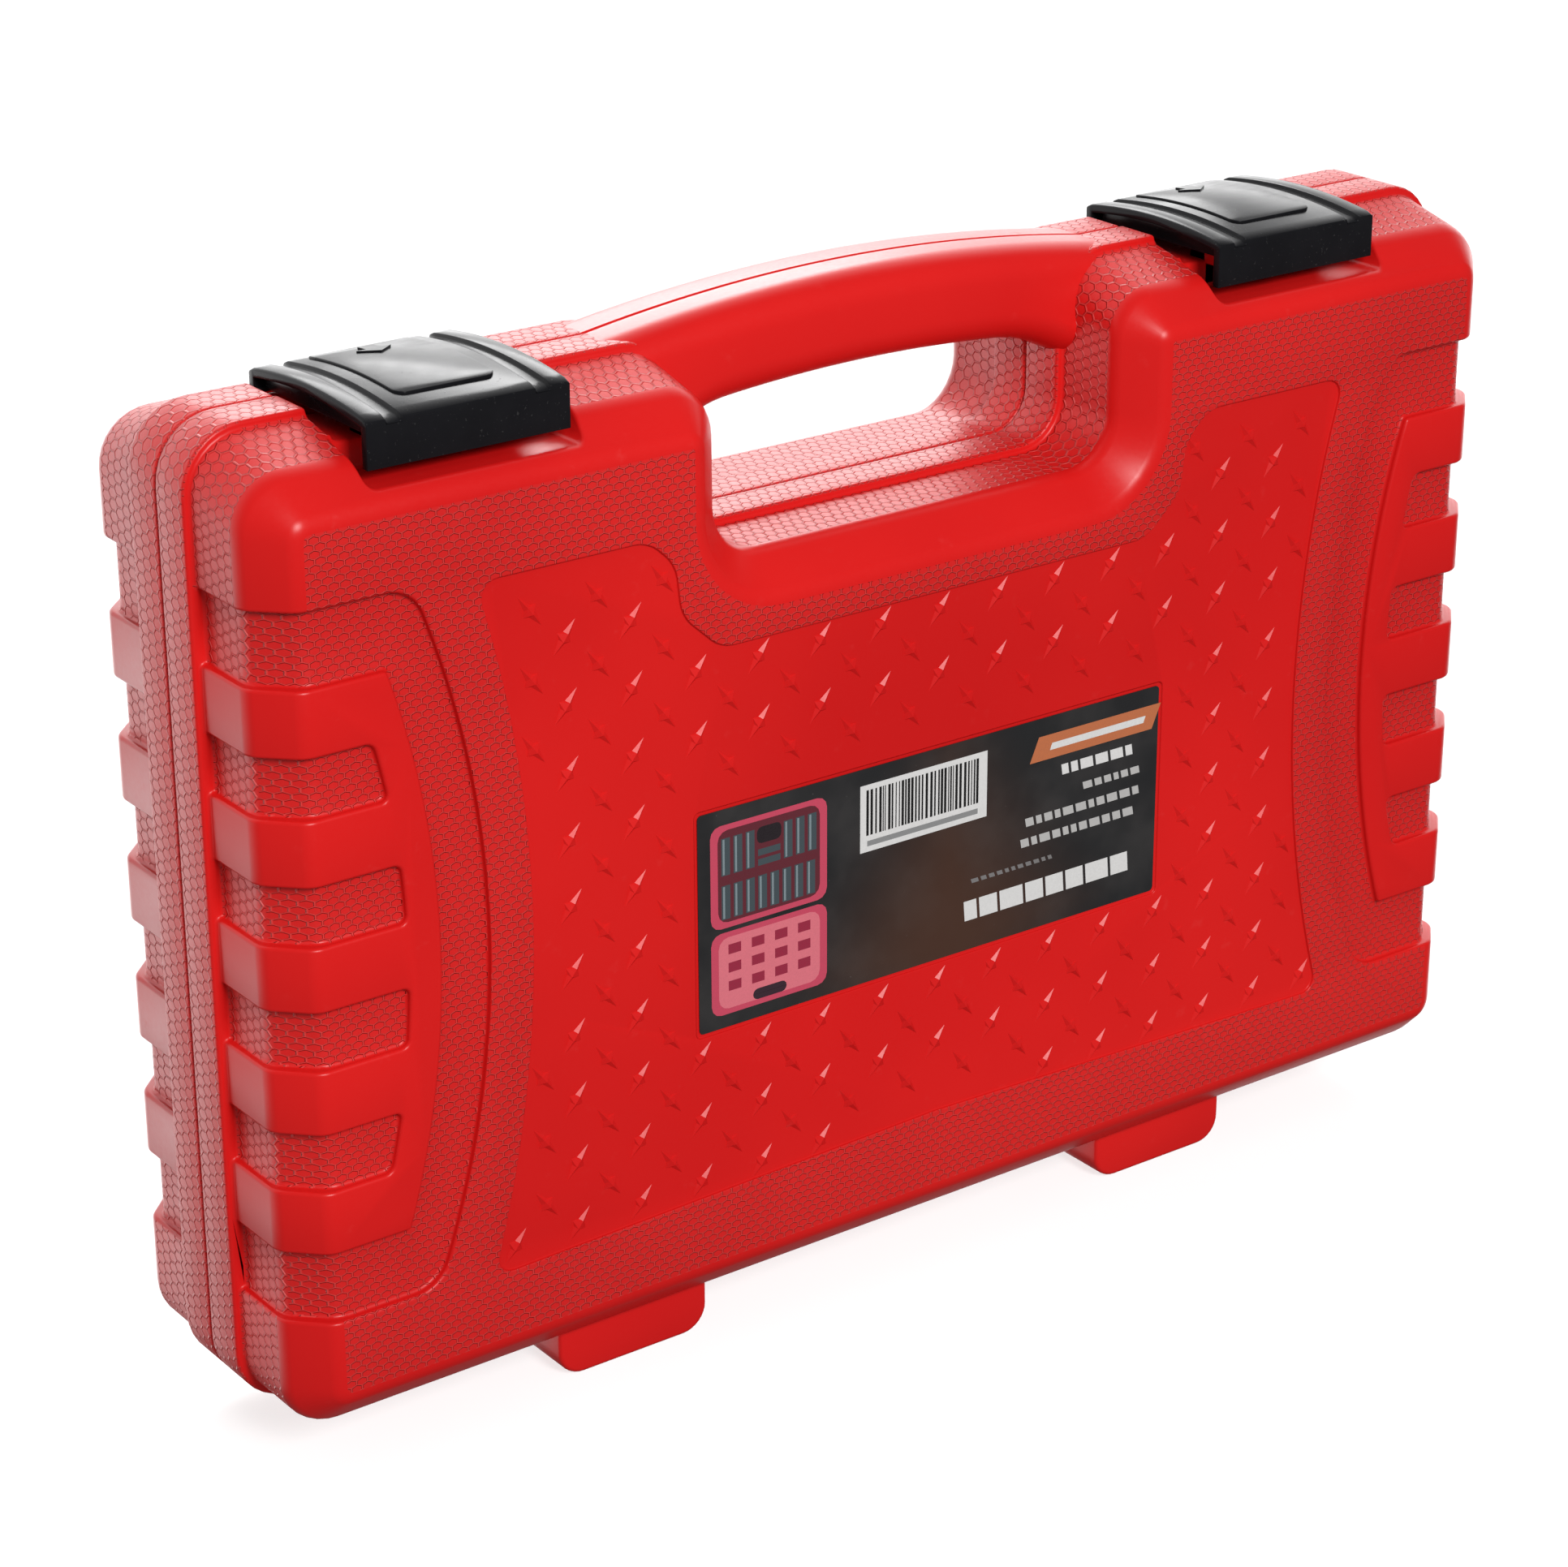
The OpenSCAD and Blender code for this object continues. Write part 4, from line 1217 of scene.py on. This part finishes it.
for column in range(4):
    for row in range(3):
        left, low = 0.060 + column * 0.048, 0.165 + row * 0.085
        ink.box(left, low, left + 0.026, low + 0.045, (0.30, 0.02, 0.05), 3)
ink.round_box(0.110, 0.085, 0.180, 0.135, (0.04, 0.02, 0.03), 3, 0.01)
ink.box(0.335, 0.615, 0.610, 0.925, PAPER, 1)
place = 0.348
while place < 0.592:
    wide = float(random_bars.choice([0.0022, 0.0035, 0.0052]))
    ink.box(place, 0.690, place + wide, 0.900, INK, 2)
    place += wide + float(random_bars.choice([0.0022, 0.0035, 0.0050]))
ink.box(0.350, 0.640, 0.590, 0.665, (0.25, 0.25, 0.25), 2)
ink.box(0.705, 0.800, 0.985, 0.915, ORANGE, 1, lean=0.02)
ink.box(0.750, 0.840, 0.965, 0.872, PAPER, 2, lean=0.005)


def line_of_dashes(u0, v0, u1, v1, wide, colour):
    left = u0
    while left < u1 - wide * 0.4:
        right = min(u1, left + wide * float(random_bars.choice([0.7, 1.0, 1.3])))
        ink.box(left, v0, right, v1, colour, 1, lean=-0.003)
        left = right + 0.006


line_of_dashes(0.78, 0.705, 0.95, 0.755, 0.022, PAPER)
line_of_dashes(0.83, 0.605, 0.96, 0.640, 0.016, GREY)
line_of_dashes(0.70, 0.505, 0.96, 0.545, 0.018, GREY)
line_of_dashes(0.69, 0.410, 0.96, 0.450, 0.018, GREY)
line_of_dashes(0.58, 0.315, 0.77, 0.335, 0.012, DIM)
line_of_dashes(0.565, 0.140, 0.955, 0.235, 0.040, PAPER)


# %% [markdown]
# ## Film and ink of the label
# The film is a thin box with rounded corners. The ink reads its colour from the attribute, so one material
# prints all.

# %% Build the label
def ink_material():
    material, wire, where = new_material("label print")
    colour = wire.node("ShaderNodeAttribute", {"attribute_name": "ink"})
    dots = wire.noise(where, 1800.0, 1.0)
    faded = (dots * 0.16).mix(colour, (0.05, 0.045, 0.045, 1))
    finish_material(wire, {"Base Color": faded, "Roughness": 0.22 + dots * 0.12}, dots, distance=0.00001)
    return material


def film_material():
    material, wire, where = new_material("label film")
    x, z = wire.axis(where, 0), wire.axis(where, 2) - LABEL_Z
    glow = (abs(x - 0.004) + abs(z + 0.024) * 0.7).ramp(0.060, 0.004)
    band = wire.noise(where, 55.0, 3.0).ramp(0.35, 0.75)
    colour = band.mix((0.020, 0.020, 0.021, 1), (0.036, 0.034, 0.034, 1))
    colour = (glow * 0.5).mix(colour, (0.105, 0.040, 0.020, 1))
    dust = wire.noise(where, 700.0, 3.0, 0.7).ramp(0.70, 0.76)
    colour = (dust * 0.3).mix(colour, (0.16, 0.15, 0.15, 1))
    finish_material(wire, {"Base Color": colour, "Roughness": 0.20 + band * 0.10}, band + dust,
                    distance=0.00001)
    return material


film = box_bm((-LABEL_W / 2, -HALF_D + PANEL_DEPTH + 0.22 * MM, LABEL_Z - LABEL_H / 2),
              (LABEL_W / 2, -HALF_D + PANEL_DEPTH + 0.5 * MM, LABEL_Z + LABEL_H / 2))
round_edges(film, 1, 1.2 * MM, 5)
film = as_object("label_film", film, [film_material()])
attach(film, "lid")
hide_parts("label")
ink.bm.normal_update()
bmesh.ops.reverse_faces(ink.bm, faces=[f for f in ink.bm.faces if f.normal.y > 0])
ink_mesh = bpy.data.meshes.new("label_print")
ink.bm.to_mesh(ink_mesh)
ink_mesh.materials.append(ink_material())
printed = bpy.data.objects.new("label_print", ink_mesh)
bpy.context.scene.collection.objects.link(printed)
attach(printed, "lid")
print("ink shapes", len(ink_mesh.polygons))

# %% [markdown]
# ## Finishes of the imported nodes
# The pins and the sockets keep their imported shapes. They only get a material.

# %% Dress the imported nodes
for name, node in frame["nodes"].items():
    finish = PHOSPHATE if name.startswith("socket_") else STEEL if "pin_" in name else None
    if finish:
        node.data.materials.clear()
        node.data.materials.append(finish)

# %% [markdown]
# ## Floor and light
# Only the camera sees the floor, and it lets more than half of what lies below show, because an opened lid
# hangs past it. Every other ray passes through, so the floor throws no light back up at the red. The world
# is white to the camera. Mirrored rays find it bright behind the case and dim in front and below, which
# gives the top and the left side their pale sheen and keeps the front deep red. All other rays find it
# evenly dim. One softbox above the camera lights the front, and a weaker one fills the back.

# %% Place the floor
floor_bm = bmesh.new()
bmesh.ops.create_grid(floor_bm, x_segments=1, y_segments=1, size=6)
bmesh.ops.translate(floor_bm, vec=(0, 0, -0.0002), verts=floor_bm.verts)
floor_material, wire, where = new_material("pale floor")
shade = wire.noise(where, 3.0, 2.0)
pale = shade.mix((0.93, 0.93, 0.94, 1), (0.96, 0.96, 0.96, 1))
gloss = wire.node("ShaderNodeBsdfPrincipled", {}, {"Base Color": pale, "Roughness": 0.16 + shade * 0.08})
clear = wire.node("ShaderNodeBsdfTransparent")
seen = wire.node("ShaderNodeLightPath", output="Is Camera Ray")
mixed = wire.node("ShaderNodeMixShader", {}, {0: seen * 0.42, 1: clear, 2: gloss})
wire.node("ShaderNodeOutputMaterial", {}, {0: mixed})
floor = as_object("floor", floor_bm, [floor_material])

# %% [markdown]
# ## Light
# The world is a formula of the ray's direction and kind, which is simpler than a ring of lamps round the
# case.

# %% Light the scene
world = bpy.data.worlds.new("white studio")
bpy.context.scene.world = world
world.use_nodes = True
world.node_tree.nodes.clear()
sky = Wire(world.node_tree)
direction = sky.node("ShaderNodeTexCoord")
backwards = sky.axis(direction, 1).ramp(-0.15, 0.55, 0.03, 2.7)
not_below = sky.axis(direction, 2).ramp(-0.68, -0.42, 0.05, 1.0)
behind = backwards * not_below
seen = sky.node("ShaderNodeLightPath", output="Is Camera Ray")
mirrored = sky.node("ShaderNodeLightPath", output="Is Glossy Ray")
strength = seen * 1.3 + (1 - seen) * (mirrored * behind + (1 - mirrored) * 0.40)
light = sky.node("ShaderNodeBackground", {}, {"Color": (1, 1, 1, 1), "Strength": strength})
sky.node("ShaderNodeOutputWorld", {}, {0: light})


def softbox(name, at, target, width, height, power, colour=(1, 1, 1)):
    data = bpy.data.lights.new(name, "AREA")
    data.shape, data.size, data.size_y = "RECTANGLE", width, height
    data.energy, data.color = power, colour
    lamp = bpy.data.objects.new(name, data)
    bpy.context.scene.collection.objects.link(lamp)
    lamp.location = at
    lamp.rotation_mode = "QUATERNION"
    lamp.rotation_quaternion = (Vector(target) - Vector(at)).to_track_quat("-Z", "Y")
    lamp.visible_camera = False
    return lamp


softbox("front softbox", (-0.35, -1.75, 1.25), (0, 0, 0.12), 0.6, 0.6, 37)
softbox("back fill", (1.0, 1.7, 1.3), (0, 0, 0.12), 0.8, 0.8, 16)
bpy.context.scene.view_settings.view_transform = "Standard"
